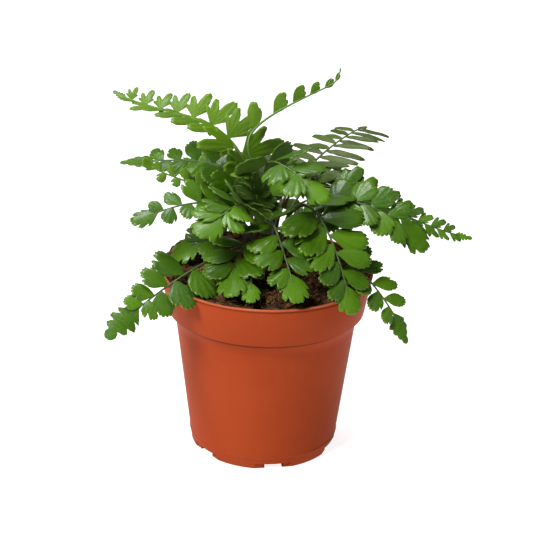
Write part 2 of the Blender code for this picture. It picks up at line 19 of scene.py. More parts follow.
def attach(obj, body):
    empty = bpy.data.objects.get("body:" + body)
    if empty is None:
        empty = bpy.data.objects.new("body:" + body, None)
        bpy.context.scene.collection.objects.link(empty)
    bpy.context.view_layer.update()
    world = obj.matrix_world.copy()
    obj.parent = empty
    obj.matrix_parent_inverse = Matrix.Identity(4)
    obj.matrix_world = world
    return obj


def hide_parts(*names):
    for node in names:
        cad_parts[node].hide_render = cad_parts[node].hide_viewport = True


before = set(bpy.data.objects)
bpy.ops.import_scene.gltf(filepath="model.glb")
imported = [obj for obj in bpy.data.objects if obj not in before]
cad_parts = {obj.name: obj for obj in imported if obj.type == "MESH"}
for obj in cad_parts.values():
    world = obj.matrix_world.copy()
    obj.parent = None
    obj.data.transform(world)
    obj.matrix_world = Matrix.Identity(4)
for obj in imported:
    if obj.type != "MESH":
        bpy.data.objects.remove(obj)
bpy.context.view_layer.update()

logging.basicConfig(level=logging.INFO, format="%(message)s")
LOG = logging.getLogger("fern")

MM = 0.001
UP = Vector((0.0, 0.0, 1.0))
Colour = tuple[float, float, float]
Points = list[Vector]
Polygons = list[tuple[int, ...]]
GridPoint = tuple[float, float, float, float]


# ---------------------------------------------------------------------------------------------
# Shader building
# ---------------------------------------------------------------------------------------------


class Sock:
    """One shader output that can be used in ordinary sums."""

    def __init__(self, graph: "Graph", socket: Any) -> None:
        """Hold a socket and the graph that it is in."""
        self.graph = graph
        self.socket = socket

    def __add__(self, other: Any) -> "Sock":
        """Sum."""
        return self.graph.math("ADD", self, other)

    __radd__ = __add__

    def __mul__(self, other: Any) -> "Sock":
        """Product."""
        return self.graph.math("MULTIPLY", self, other)

    __rmul__ = __mul__

    def __sub__(self, other: Any) -> "Sock":
        """Difference."""
        return self.graph.math("SUBTRACT", self, other)

    def __rsub__(self, other: Any) -> "Sock":
        """Difference with the number on the left."""
        return self.graph.math("SUBTRACT", other, self)

    def __pow__(self, other: Any) -> "Sock":
        """Power."""
        return self.graph.math("POWER", self, other)

    def wave(self, repeats: float) -> "Sock":
        """A triangle wave from 0 to 1 that repeats along the value."""
        return self.graph.math("PINGPONG", self * repeats, 0.5) * 2.0

    def ease(self, low: float, high: float) -> "Sock":
        """A smooth step from 0 at low to 1 at high.

        Args:
            low: The value that gives 0.
            high: The value that gives 1; below low, the step falls.

        Returns:
            The step.
        """
        settings = {"interpolation_type": "SMOOTHSTEP"}
        sockets = {"Value": self, "From Min": low, "From Max": high}
        return self.graph.add("ShaderNodeMapRange", settings, sockets)["Result"]


class Graph:
    """A material's node tree, filled in from Python expressions."""

    def __init__(self, name: str) -> None:
        """Make an empty material.

        Args:
            name: The material's name.
        """
        self.material = bpy.data.materials.new(name)
        self.material.use_nodes = True
        self.tree = self.material.node_tree
        self.tree.nodes.clear()

    def add(
        self, kind: str, settings: dict[str, Any] | None = None, sockets: dict[Any, Any] | None = None
    ) -> "Outputs":
        """Add any node.

        Args:
            kind: The node's type.
            settings: Its own properties, set before its sockets; "stops" fills a colour ramp.
            sockets: Values or links of its inputs, by name or number.

        Returns:
            A lookup of the node's outputs by name or number, each as a Sock.
        """
        node = self.tree.nodes.new(kind)
        for key, value in (settings or {}).items():
            if key == "stops":
                self._fill_ramp(node.color_ramp, value)
            else:
                setattr(node, key, value)
        for key, value in (sockets or {}).items():
            if isinstance(value, Sock):
                self.tree.links.new(value.socket, node.inputs[key])
            else:
                node.inputs[key].default_value = value
        return Outputs(self, node)

    @staticmethod
    def _fill_ramp(ramp: Any, stops: Sequence[tuple[float, Colour]]) -> None:
        """Set a ramp's stops from (place, colour) pairs.

        Args:
            ramp: The colour ramp.
            stops: Its stops in rising order.
        """
        while len(ramp.elements) < len(stops):
            ramp.elements.new(0.5)
        for element, (place, colour) in zip(ramp.elements, stops):
            element.position = place
            element.color = (*colour, 1.0)

    def math(self, operation: str, *values: Any) -> Sock:
        """A Math node on up to three values."""
        sockets = dict(enumerate(values))
        return self.add("ShaderNodeMath", {"operation": operation}, sockets)[0]

    def mix(self, factor: Any, first: Any, second: Any) -> Sock:
        """Mix two colours, given as triples or Socks.

        Args:
            factor: The second colour's share.
            first: The colour at 0.
            second: The colour at 1.

        Returns:
            The mixed colour.
        """
        settings = {"data_type": "RGBA"}
        sockets = {0: factor, 6: self._rgba(first), 7: self._rgba(second)}
        return self.add("ShaderNodeMix", settings, sockets)[2]

    @staticmethod
    def _rgba(colour: Any) -> Any:
        """A colour triple with its alpha; a Sock stays as it is."""
        return colour if isinstance(colour, Sock) else (*colour, 1.0)

    def coordinates(self, scale: Sequence[float] = (1.0, 1.0, 1.0)) -> Sock:
        """Object coordinates, stretched by a scale."""
        place = self.add("ShaderNodeTexCoord")["Object"]
        sockets = {"Vector": place, "Scale": tuple(scale)}
        return self.add("ShaderNodeMapping", None, sockets)["Vector"]

    def noise(self, place: Sock, scale: float, detail: float = 3.0, rough: float = 0.5) -> Sock:
        """Fractal noise from 0 to 1."""
        sockets = {"Vector": place, "Scale": scale, "Detail": detail, "Roughness": rough}
        return self.add("ShaderNodeTexNoise", None, sockets)["Fac"]

    def cells(self, place: Sock, scale: float) -> Sock:
        """Distance to the nearest point in a Voronoi pattern."""
        sockets = {"Vector": place, "Scale": scale}
        return self.add("ShaderNodeTexVoronoi", {"feature": "F1"}, sockets)["Distance"]

    def bump(self, height: Sock, distance: float, strength: float = 1.0, onto: Sock | None = None) -> Sock:
        """A bumped normal, on top of another bump if one is given.

        Args:
            height: The relief, from 0 to 1.
            distance: Its depth in metres.
            strength: How much of it shows.
            onto: The normal of a bump beneath.

        Returns:
            The normal.
        """
        sockets: dict[Any, Any] = {"Height": height, "Distance": distance, "Strength": strength}
        if onto is not None:
            sockets["Normal"] = onto
        return self.add("ShaderNodeBump", None, sockets)["Normal"]

    def principled(self, sockets: dict[str, Any]) -> Sock:
        """The surface shader."""
        return self.add("ShaderNodeBsdfPrincipled", None, sockets)[0]

    def finish(self, surface: Sock) -> Any:
        """Connect the surface and return the material."""
        self.add("ShaderNodeOutputMaterial", None, {"Surface": surface})
        return self.material


class Outputs:
    """A node's outputs, looked up by name or number."""

    def __init__(self, graph: Graph, node: Any) -> None:
        """Hold the node."""
        self.graph = graph
        self.node = node

    def __getitem__(self, key: Any) -> Sock:
        """One output as a Sock."""
        return Sock(self.graph, self.node.outputs[key])


# ---------------------------------------------------------------------------------------------
# Finishes
# ---------------------------------------------------------------------------------------------


@dataclass(frozen=True)
class PotFinish:
    """Satin moulded plastic with faint flow streaks and dust, a painted highlight along the lip, and painted
    shade in its creases and recesses.
    """

    pot: "Pot"
    colour: Colour = (0.350, 0.052, 0.014)
    shade: Colour = (0.312, 0.044, 0.011)
    dust: Colour = (0.40, 0.12, 0.06)
    # painted shade: the dark colour laid into the crease under the collar, the recesses behind the foot's
    # notches and the groove under the lip
    painted_shade: Colour = (0.11, 0.018, 0.006)
    # painted highlight: the pale colour laid along the top of the lip
    painted_highlight: Colour = (0.52, 0.16, 0.08)
    roughness: float = 0.50
    shine: float = 0.03

    def painted_highlight_and_shade(self, graph: Graph, place: Sock) -> tuple[Sock, Sock]:
        """Where the lip is painted pale as a highlight, and where shade is painted dark into creases and
        recesses: both by height and radius.

        Args:
            graph: The material's graph.
            place: Object coordinates.

        Returns:
            The lip's painted highlight and the painted shade, each from 0 to 1.
        """
        split = graph.add("ShaderNodeSeparateXYZ", None, {0: place})
        height = split["Z"]
        radius = (split["X"] ** 2.0 + split["Y"] ** 2.0) ** 0.5
        pot = self.pot
        # painted shade: a dark line in the crease just under the collar's foot, standing in for its shadow
        crease = height.ease(pot.foot - 2.3 * MM, pot.foot - 1.1 * MM) * height.ease(
            pot.foot + 0.10 * MM, pot.foot - 0.05 * MM
        )
        # painted shade: the recesses behind the foot's notches, darkened where they lie in shade
        recess = height.ease(pot.channel_height + 0.2 * MM, pot.channel_height) * radius.ease(
            pot.notch_radius + 0.5 * MM, pot.notch_radius + 0.2 * MM
        )
        # painted highlight: the top of the lip made paler
        lip = height.ease(pot.height - 0.7 * MM, pot.height - 0.2 * MM)
        # painted shade: a darker band in the groove under the lip
        below_lip = height.ease(pot.height - 2.4 * MM, pot.height - 1.7 * MM) * height.ease(
            pot.height - 1.0 * MM, pot.height - 1.3 * MM
        )
        return lip, (crease * 0.70 + recess * 0.95 + below_lip * 0.35).ease(0.0, 1.0)

    def material(self) -> Any:
        """Build the plastic."""
        graph = Graph("pot_plastic")
        place = graph.coordinates()
        lip, painted_shade = self.painted_highlight_and_shade(graph, place)
        streaks = graph.noise(graph.coordinates((1.0, 1.0, 0.12)), 130.0, 4.0, 0.6)
        clouds = graph.noise(place, 28.0, 4.0, 0.55)
        grain = graph.noise(place, 2600.0, 2.0)
        scuffs = graph.noise(graph.coordinates((1.0, 1.0, 3.0)), 240.0, 5.0, 0.7).ease(0.62, 0.78)
        colour = graph.mix(clouds.ease(0.35, 0.75) * 0.7, self.colour, self.shade)
        colour = graph.mix(scuffs * 0.16 + streaks.ease(0.6, 0.8) * 0.06, colour, self.dust)
        # painted highlight along the top of the lip
        colour = graph.mix(lip * 0.5, colour, self.painted_highlight)
        # painted shade in the crease under the collar, the notches' recesses and the groove under the lip
        colour = graph.mix(painted_shade, colour, self.painted_shade)
        rough = self.roughness + 0.10 * (clouds - 0.5) + 0.12 * scuffs + 0.05 * (grain - 0.5)
        normal = graph.bump(grain, 0.00003, 0.5)
        normal = graph.bump(streaks, 0.00012, 0.35, normal)
        shader = {"Base Color": colour, "Roughness": rough, "Normal": normal}
        shader["Specular IOR Level"] = self.shine
        return graph.finish(graph.principled(shader))


@dataclass(frozen=True)
class MixFinish:
    """Damp peat and coir: dark, matt, grained, with lighter flecks."""

    name: str
    dark: Colour
    mid: Colour
    light: Colour
    grain: float = 900.0

    def material(self) -> Any:
        """Build the peat."""
        graph = Graph(self.name)
        place = graph.coordinates()
        clods = graph.noise(place, self.grain * 0.25, 5.0, 0.65)
        grit = graph.noise(place, self.grain, 4.0, 0.7)
        flecks = graph.cells(place, self.grain * 1.3).ease(0.20, 0.06)
        colour = graph.mix(clods.ease(0.36, 0.62), self.dark, self.mid)
        colour = graph.mix(grit.ease(0.55, 0.75) * 0.75 + flecks * 0.25, colour, self.light)
        rough = 0.97 - 0.15 * clods
        normal = graph.bump(grit, 0.0006, 0.9)
        normal = graph.bump(clods, 0.0008, 0.6, normal)
        shader = {"Base Color": colour, "Roughness": rough, "Normal": normal, "Specular IOR Level": 0.25}
        return graph.finish(graph.principled(shader))


@dataclass(frozen=True)
class FibreFinish:
    """Coir fibre: red-brown strands, lighter here and there."""

    dark: Colour = (0.10, 0.040, 0.010)
    light: Colour = (0.46, 0.27, 0.10)

    def material(self) -> Any:
        """Build the fibre."""
        graph = Graph("coir")
        place = graph.coordinates()
        patches = graph.noise(place, 160.0, 3.0)
        grain = graph.noise(place, 3200.0, 2.0)
        colour = graph.mix(patches.ease(0.38, 0.66), self.dark, self.light)
        rough = 0.75 + 0.15 * grain
        shader = {"Base Color": colour, "Roughness": rough, "Normal": graph.bump(grain, 0.0001, 0.6)}
        return graph.finish(graph.principled(shader))


@dataclass(frozen=True)
class BladeFinish:
    """A leathery leaflet: forked fan veins, a paler rim, and a waxy shine above."""

    name: str
    deep: Colour
    fresh: Colour
    rim: Colour
    roughness: float = 0.36
    shine: float = 0.35
    through: Colour = (0.24, 0.42, 0.01)
    glow: float = 0.22
    vein_height: float = 0.00032

    def veins(self, across: Sock, out: Sock) -> Sock:
        """Fan veins that fork twice on their way to the rim, 1 on a vein and 0 between.

        Args:
            across: Place along the rim.
            out: Place from the stalk to the rim.

        Returns:
            The veins.
        """
        few = across.wave(9.0).ease(0.80, 1.0)
        some = across.wave(18.0).ease(0.78, 1.0)
        many = across.wave(36.0).ease(0.72, 1.0)
        first, second = out.ease(0.28, 0.50), out.ease(0.58, 0.78)
        coarse = few * (1.0 - first) + some * first
        return coarse * (1.0 - second) + many * second

    def material(self) -> Any:
        """Build the leaflet surface."""
        graph = Graph(self.name)
        leaf = graph.add("ShaderNodeUVMap", {"uv_map": "blade"})["UV"]
        split = graph.add("ShaderNodeSeparateXYZ", None, {0: leaf})
        across, out = split["X"], split["Y"]
        own = graph.add("ShaderNodeAttribute", {"attribute_name": "leaflet"})["Color"]
        parts = graph.add("ShaderNodeSeparateColor", None, {0: own})
        chance, youth = parts["Red"], parts["Green"]
        place = graph.coordinates()
        clouds = graph.noise(place, 110.0, 3.0)
        mottle = graph.noise(place, 620.0, 4.0, 0.6)
        veins = self.veins(across, out)
        fresh = (0.62 * chance + 0.5 * youth + 0.55 * (clouds - 0.5)).ease(0.05, 0.95)
        colour = graph.mix(fresh, self.deep, self.fresh)
        colour = graph.mix(veins * 0.22 + 0.22 * mottle.ease(0.5, 0.75), colour, self.rim)
        edge = out.ease(0.90, 1.0)
        colour = graph.mix(edge * 0.45, colour, self.rim)
        rough = self.roughness + 0.16 * (mottle - 0.4) + 0.10 * veins
        normal = graph.bump(veins * (1.0 - 0.6 * edge), self.vein_height, 0.55)
        normal = graph.bump(mottle, 0.00025, 0.35, normal)
        shader = {
            "Base Color": colour,
            "Roughness": rough,
            "Normal": normal,
            "Specular IOR Level": 0.28,
            "Coat Weight": self.shine,
            "Coat Roughness": 0.20,
            "Coat IOR": 1.4,
        }
        body = graph.principled(shader)
        through = {"Color": (*self.through, 1.0), "Normal": normal}
        lit = graph.add("ShaderNodeBsdfTranslucent", None, through)[0]
        mixed = graph.add("ShaderNodeMixShader", None, {0: self.glow, 1: body, 2: lit})[0]
        return graph.finish(mixed)


@dataclass(frozen=True)
class StalkFinish:
    """A frond's stalk and midrib: green, turning brown where it leaves the crown."""

    name: str
    green: Colour
    brown: Colour = (0.045, 0.030, 0.010)

    def material(self) -> Any:
        """Build the stalk surface."""
        graph = Graph(self.name)
        own = graph.add("ShaderNodeAttribute", {"attribute_name": "leaflet"})["Color"]
        up = graph.add("ShaderNodeSeparateColor", None, {0: own})["Green"]
        place = graph.coordinates()
        clouds = graph.noise(place, 300.0, 3.0)
        grain = graph.noise(place, 2400.0, 3.0)
        colour = graph.mix((up + 0.25 * (clouds - 0.5)).ease(0.04, 0.55), self.brown, self.green)
        rough = 0.40 + 0.15 * grain
        normal = graph.bump(grain, 0.0001, 0.5)
        shader = {"Base Color": colour, "Roughness": rough, "Normal": normal}
        return graph.finish(graph.principled(shader))


# ---------------------------------------------------------------------------------------------
# Modelling by hand: operators on a selection
# ---------------------------------------------------------------------------------------------


def deselect_all() -> None:
    """Leave object mode with nothing selected."""
    if bpy.context.object and bpy.context.object.mode != "OBJECT":
        bpy.ops.object.mode_set(mode="OBJECT")
    bpy.ops.object.select_all(action="DESELECT")


def activate(piece: Any) -> None:
    """Select one object alone and make it active."""
    deselect_all()
    piece.select_set(True)
    bpy.context.view_layer.objects.active = piece


def apply_modifier(piece: Any, kind: str, settings: dict[str, Any]) -> None:
    """Add a modifier with some settings and apply it at once.

    Args:
        piece: The object.
        kind: The modifier's type.
        settings: Its properties.
    """
    activate(piece)
    modifier = piece.modifiers.new(kind.lower(), kind)
    for key, value in settings.items():
        setattr(modifier, key, value)
    bpy.ops.object.modifier_apply(modifier=modifier.name)


def smooth_by_angle(piece: Any, degrees: float) -> None:
    """Shade a piece smooth except over its sharp edges."""
    activate(piece)
    bpy.ops.object.shade_smooth_by_angle(angle=math.radians(degrees))


def dress(piece: Any, name: str, materials: Iterable[Any]) -> Any:
    """Name a finished piece, give it its materials and let it ride on the plant.

    Args:
        piece: The object.
        name: Its name.
        materials: Its materials in order.

    Returns:
        The same object.
    """
    piece.name = name
    piece.data.name = name
    piece.data.materials.clear()
    for material in materials:
        piece.data.materials.append(material)
    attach(piece, "root")
    LOG.info("%s: %d faces", name, len(piece.data.polygons))
    return piece


class Lathe:
    """Turned work: a round plate whose edge is extruded from station to station."""

    def __init__(self, radius: float, height: float, segments: int) -> None:
        """Start with a filled circle.

        Args:
            radius: The first station's radius.
            height: Its height.
            segments: Corners round the circle.
        """
        deselect_all()
        bpy.ops.mesh.primitive_circle_add(
            vertices=segments, radius=radius, fill_type="NGON", location=(0.0, 0.0, height)
        )
        self.piece = bpy.context.object
        self.radius, self.height = radius, height
        bpy.ops.object.mode_set(mode="EDIT")
        bpy.ops.mesh.select_mode(type="FACE")
        bpy.ops.mesh.select_all(action="SELECT")

    def to(self, radius: float, height: float) -> "Lathe":
        """Extrude the end face to the next station.

        Args:
            radius: The station's radius.
            height: Its height.

        Returns:
            The lathe, for the next step.
        """
        scale = radius / self.radius
        bpy.ops.mesh.extrude_region_move(TRANSFORM_OT_translate={"value": (0.0, 0.0, height - self.height)})
        bpy.ops.transform.resize(value=(scale, scale, 1.0), center_override=(0.0, 0.0, height))
        self.radius, self.height = radius, height
        return self

    def done(self) -> Any:
        """Bake the place into the mesh, turn the faces outwards and return the object."""
        bpy.ops.mesh.select_all(action="SELECT")
        bpy.ops.mesh.normals_make_consistent(inside=False)
        bpy.ops.object.mode_set(mode="OBJECT")
        bpy.ops.object.transform_apply(location=True, rotation=True, scale=True)
        return self.piece


# ---------------------------------------------------------------------------------------------
# Pot
# ---------------------------------------------------------------------------------------------


@dataclass
class Pot:
    """The moulded nursery pot, with its sizes."""

    height: float = 92.5 * MM
    rim_radius: float = 52.5 * MM
    lip_height: float = 1.1 * MM
    groove: float = 0.35 * MM
    collar_height: float = 20.0 * MM
    collar_foot_radius: float = 49.0 * MM
    ledge: float = 1.1 * MM
    chamfer_height: float = 8.1 * MM
    shoulder_radius: float = 44.7 * MM
    base_radius: float = 37.0 * MM
    wall: float = 1.0 * MM
    floor: float = 4.2 * MM
    bead_height: float = 5.8 * MM
    bead: float = 0.40 * MM
    segments: int = 192
    channels: int = 6
    channel_turn: float = math.radians(-81.0)
    channel_height: float = 2.8 * MM
    channel_half_width: float = 4.4 * MM
    channel_radius: float = 22.0 * MM
    notch_half_width: float = 8.9 * MM
    notch_radius: float = 35.7 * MM
    drain_radius: float = 1.8 * MM
    drain_place: float = 29.0 * MM
    drain_sides: int = 24
    cut_past: float = 3.0 * MM
    curve_steps: int = 5

    @property
    def foot(self) -> float:
        """Height of the collar's foot."""
        return self.height - self.collar_height

    @property
    def shoulder(self) -> float:
        """Height of the shoulder under the collar."""
        return self.foot - self.chamfer_height

    def wall_radius(self, height: float) -> float:
        """The tapered wall's outer radius at a height."""
        return self.base_radius + (self.shoulder_radius - self.base_radius) * height / self.shoulder

    def build(self) -> Any:
        """Turn the shell, cut its drainage, and dress it."""
        piece = self.turn_shell()
        apply_modifier(
            piece,
            "BEVEL",
            {"width": 0.25 * MM, "segments": 2, "limit_method": "ANGLE", "angle_limit": math.radians(28.0)},
        )
        self.cut(piece, self.bar_tool(self.notch_radius, self.notch_half_width))
        self.cut(piece, self.bar_tool(self.channel_radius, self.channel_half_width))
        self.cut(piece, self.drain_tool())
        smooth_by_angle(piece, 35.0)
        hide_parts("pot")
        return dress(piece, "pot_shell", [PotFinish(self).material()])

    def turn_shell(self) -> Any:
        """The round shell: up the outside, over the rim and down the inside."""
        lathe = Lathe(self.base_radius, 0.0, self.segments)
        bead = self.bead_height
        lathe.to(self.wall_radius(bead - self.bead), bead - self.bead)
        lathe.to(self.wall_radius(bead) + self.bead, bead)
        lathe.to(self.wall_radius(bead + self.bead), bead + self.bead)
        lathe.to(self.shoulder_radius, self.shoulder)
        for index in range(1, self.curve_steps + 1):
            share = index / self.curve_steps
            lift = self.shoulder + self.chamfer_height * share
            reach = (self.collar_foot_radius - self.ledge - self.shoulder_radius) * share**1.5
            lathe.to(self.shoulder_radius + reach, lift)
        lathe.to(self.collar_foot_radius, self.foot)
        lip = self.height - self.lip_height
        body_top = self.rim_radius - self.groove
        lathe.to(body_top, lip - self.groove * 2.0)
        lathe.to(body_top - self.groove, lip)
        lathe.to(self.rim_radius, lip + self.groove)
        lathe.to(self.rim_radius, self.height - self.groove)
        lathe.to(self.rim_radius - self.groove, self.height)
        inner = self.rim_radius - self.groove - self.wall
        lathe.to(inner, self.height)
        lathe.to(inner - self.groove, self.height - self.groove)
        lathe.to(self.collar_foot_radius - self.ledge - self.wall, self.foot)
        lathe.to(self.shoulder_radius - self.wall, self.shoulder)
        lathe.to(self.wall_radius(self.floor) - self.wall, self.floor)
        return lathe.done()

    def turns(self) -> list[float]:
        """The channels' angles round the pot."""
        return [self.channel_turn + math.tau * index / self.channels for index in range(self.channels)]

    def bar_tool(self, inner: float, half_width: float) -> Any:
        """Bars that cut through the pot's foot from a radius outwards, one at each channel.

        Args:
            inner: The radius where they begin.
            half_width: Half their width.

        Returns:
            The bars as one object.
        """
        past = self.cut_past
        outer = self.base_radius + past
        size = (outer - inner, 2.0 * half_width, self.channel_height + past)
        deselect_all()
        bpy.ops.mesh.primitive_cube_add(
            size=1.0, location=((inner + outer) / 2.0, 0.0, (self.channel_height - past) / 2.0), scale=size
        )
        bpy.ops.object.transform_apply(location=True, rotation=True, scale=True)
        return self.copied_round(bpy.context.object)

    def drain_tool(self) -> Any:
        """Pins that open the drain holes, from one cylinder copied round."""
        deselect_all()
        bpy.ops.mesh.primitive_cylinder_add(
            vertices=self.drain_sides,
            radius=self.drain_radius,
            depth=2.0 * self.floor,
            location=(self.drain_place, 0.0, self.floor),
        )
        bpy.ops.object.transform_apply(location=True, rotation=True, scale=True)
        return self.copied_round(bpy.context.object)

    def copied_round(self, tool: Any) -> Any:
        """One joined tool with a copy at each channel's angle.

        Args:
            tool: The tool at angle zero, which is thrown away.

        Returns:
            The joined copies.
        """
        copies = []
        for turn in self.turns():
            copy = tool.copy()
            copy.data = tool.data.copy()
            copy.data.transform(Matrix.Rotation(turn, 4, "Z"))
            bpy.context.scene.collection.objects.link(copy)
            copies.append(copy)
        bpy.data.objects.remove(tool, do_unlink=True)
        deselect_all()
        for copy in copies:
            copy.select_set(True)
        bpy.context.view_layer.objects.active = copies[0]
        bpy.ops.object.join()
        return copies[0]

    @staticmethod
    def cut(piece: Any, tool: Any) -> None:
        """Subtract a tool from the pot and throw the tool away."""
        apply_modifier(piece, "BOOLEAN", {"operation": "DIFFERENCE", "object": tool, "solver": "EXACT"})
        bpy.data.objects.remove(tool, do_unlink=True)


# ---------------------------------------------------------------------------------------------
# Potting mix
# ---------------------------------------------------------------------------------------------


@dataclass
class PottingMix:
    """Peat and coir that fill the pot, mounded up round the crown."""

    pot: Pot
    crown_place: Vector
    level_radius: float = 12.0 * MM
    gap: float = 0.3 * MM
    front_depth: float = 3.2 * MM
    heap_rise: float = 4.6 * MM
    heap_turn: float = math.radians(160.0)
    top: float = 97.2 * MM
    rings: int = 62
    segments: int = 200
    crumbs: int = 1350
    fibres: int = 520
    seed: int = 7
    lump: float = 1.1 * MM
    lump_size: float = 7.0 * MM
    clod: float = 1.5 * MM
    clod_size: float = 3.2 * MM
    clod_sink: float = 0.7 * MM
    grit: float = 0.40 * MM
    grit_size: float = 0.9 * MM
    crumb_sizes: tuple[float, float] = (0.35 * MM, 0.85 * MM)
    large_crumb: float = 1.9
    large_share: float = 0.16
    fibre_lengths: tuple[float, float] = (2.0 * MM, 7.0 * MM)
    fibre_radii: tuple[float, float] = (0.07 * MM, 0.14 * MM)
    fibre_steps: int = 6
    peat: MixFinish = MixFinish(
        "peat", (0.010, 0.0045, 0.0014), (0.088, 0.038, 0.010), (0.40, 0.20, 0.058)
    )
    crumb: MixFinish = MixFinish(
        "peat_crumb", (0.030, 0.012, 0.003), (0.20, 0.085, 0.024), (0.46, 0.25, 0.09), 1100.0
    )

    @property
    def top_radius(self) -> float:
        """Radius of the mix where it meets the rim."""
        return self.pot.rim_radius - self.pot.groove * 2.0 - self.pot.wall - self.gap

    def edge_height(self, turn: float) -> float:
        """Where the mix meets the wall: low in front and heaped above the rim at the left."""
        heap = ((1.0 + math.cos(turn - self.heap_turn)) / 2.0) ** 3
        return self.pot.height - self.front_depth + (self.front_depth + self.heap_rise) * heap

    def surface(self, x: float, y: float) -> float:
        """Height of the mix's surface over a point, with its lumps.

        Args:
            x: Place to the right.
            y: Place to the back.

        Returns:
            The height.
        """
        place = Vector((x, y, 0.0))
        share = min(1.0, place.length / self.top_radius)
        edge = self.edge_height(math.atan2(y, x))
        mound = edge + (self.top - edge) * (1.0 - share**3)
        lumps = noise.noise(place / self.lump_size) * self.lump
        clods = noise.turbulence(place / self.clod_size, 3, False) * self.clod - self.clod_sink
        grit = noise.noise(place / self.grit_size) * self.grit
        level = min(1.0, max(0.0, 2.0 - (place - self.crown_place).xy.length / self.level_radius))
        lumps *= 1.0 - 0.8 * level
        return mound * (1.0 - level) + self.top * level + lumps + clods + grit

    def build(self) -> list[Any]:
        """Make the body, its crumbs and its fibres."""
        return [self.build_body(), self.build_crumbs(), self.build_fibres()]

    def build_body(self) -> Any:
        """Turn the filling and raise its top by the surface's height."""
        pot, gap = self.pot, 2.0 * self.gap
        base = pot.floor + self.gap
        lathe = Lathe(pot.wall_radius(base) - pot.wall - gap, base, self.segments)
        lathe.to(pot.shoulder_radius - pot.wall - gap, pot.shoulder)
        lathe.to(pot.collar_foot_radius - pot.ledge - pot.wall - gap, pot.foot)
        for index in range(self.rings):
            lathe.to(self.top_radius * (1.0 - index / self.rings), pot.height)
        piece = lathe.done()
        for vertex in piece.data.vertices:
            if vertex.co.z > pot.height - self.gap:
                vertex.co.z = self.surface(vertex.co.x, vertex.co.y)
        smooth_by_angle(piece, 60.0)
        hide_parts("potting_mix")
        return dress(piece, "potting_mix_body", [self.peat.material()])

    def build_crumbs(self) -> Any:
        """Loose crumbs of peat, each a squashed and roughened ball."""
        chance = random.Random(self.seed)
        deselect_all()
        bpy.ops.mesh.primitive_ico_sphere_add(subdivisions=2, radius=1.0)
        ball = bpy.context.object
        shape = [vertex.co.copy() for vertex in ball.data.vertices]
        faces = [tuple(polygon.vertices) for polygon in ball.data.polygons]
        bpy.data.objects.remove(ball, do_unlink=True)
        points: Points = []
        polygons: Polygons = []
        for _ in range(self.crumbs):
            reach = self.top_radius * 0.985 * math.sqrt(chance.random())
            turn = chance.uniform(0.0, math.tau)
            x, y = reach * math.cos(turn), reach * math.sin(turn)
            size = chance.uniform(*self.crumb_sizes)
            size *= self.large_crumb if chance.random() < self.large_share else 1.0
            centre = Vector((x, y, self.surface(x, y) + 0.25 * size))
            twist = Matrix.Rotation(chance.uniform(0.0, math.tau), 3, "Z")
            tilt = Matrix.Rotation(chance.uniform(-0.8, 0.8), 3, "X")
            stretch = Vector((chance.uniform(0.8, 1.5), chance.uniform(0.6, 1.0), chance.uniform(0.5, 0.9)))
            start = len(points)
            offset = Vector((chance.uniform(0.0, 50.0), chance.uniform(0.0, 50.0), 0.0))
            for corner in shape:
                rough = 1.0 + 0.55 * noise.noise(corner * 1.7 + offset)
                bent = Vector(corner * stretch) * rough * size
                points.append(centre + twist @ (tilt @ bent))
            polygons += [tuple(start + index for index in face) for face in faces]
        piece = piece_from(points, polygons)
        smooth_by_angle(piece, 50.0)
        return dress(piece, "peat_crumbs", [self.crumb.material()])

    def build_fibres(self) -> Any:
        """Short coir fibres that lie on the mix and curl up from it."""
        chance = random.Random(self.seed + 1)
        points: Points = []
        polygons: Polygons = []
        for _ in range(self.fibres):
            reach = self.top_radius * 0.96 * math.sqrt(chance.random())
            turn = chance.uniform(0.0, math.tau)
            heading = chance.uniform(0.0, math.tau)
            length = chance.uniform(*self.fibre_lengths)
            bend = chance.uniform(-1.6, 1.6)
            x, y = reach * math.cos(turn), reach * math.sin(turn)
            path = []
            steps = self.fibre_steps
            lifted = chance.uniform(0.2, 1.6) * MM
            for index in range(steps + 1):
                share = index / steps
                room = self.top_radius - 0.4 * MM
                if math.hypot(x, y) > room:
                    x, y = x * room / math.hypot(x, y), y * room / math.hypot(x, y)
                height = self.surface(x, y) + 0.15 * MM + lifted * math.sin(math.pi * share) ** 2
                path.append(Vector((x, y, height)))
                x += math.cos(heading) * length / steps
                y += math.sin(heading) * length / steps
                heading += bend / steps
            add_tube(points, polygons, path, [chance.uniform(*self.fibre_radii)] * len(path), 4)
        piece = piece_from(points, polygons)
        smooth_by_angle(piece, 60.0)
        return dress(piece, "coir_fibres", [FibreFinish().material()])


def piece_from(points: Sequence[Vector], polygons: Polygons) -> Any:
    """An object from computed corners and faces.

    Args:
        points: The corners.
        polygons: The faces.

    Returns:
        The object.
    """
    mesh = bpy.data.meshes.new("piece")
    mesh.from_pydata([tuple(point) for point in points], [], polygons)
    mesh.update()
    piece = bpy.data.objects.new("piece", mesh)
    bpy.context.scene.collection.objects.link(piece)
    return piece


def add_tube(points: Points, polygons: Polygons, path: Points, radii: Sequence[float], sides: int) -> None:
    """Append a closed round tube along a path.

    Args:
        points: The corners so far.
        polygons: The faces so far.
        path: The tube's middle line.
        radii: Its radius at each point of the path.
        sides: Corners round it.
    """
    start = len(points)
    for index, middle in enumerate(path):
        ahead = path[min(index + 1, len(path) - 1)] - path[max(index - 1, 0)]
        ahead.normalize()
        side = ahead.cross(UP)
        side = side.normalized() if side.length > 1e-4 else Vector((1.0, 0.0, 0.0))
        over = side.cross(ahead)
        for corner in range(sides):
            turn = math.tau * corner / sides
            points.append(middle + (side * math.cos(turn) + over * math.sin(turn)) * radii[index])
    for index in range(len(path) - 1):
        for corner in range(sides):
            after = (corner + 1) % sides
            low, high = start + index * sides, start + (index + 1) * sides
            polygons.append((low + after, low + corner, high + corner, high + after))
    polygons.append(tuple(start + corner for corner in range(sides)))
    last = start + (len(path) - 1) * sides
    polygons.append(tuple(last + corner for corner in reversed(range(sides))))


# ---------------------------------------------------------------------------------------------
# Crown
# ---------------------------------------------------------------------------------------------


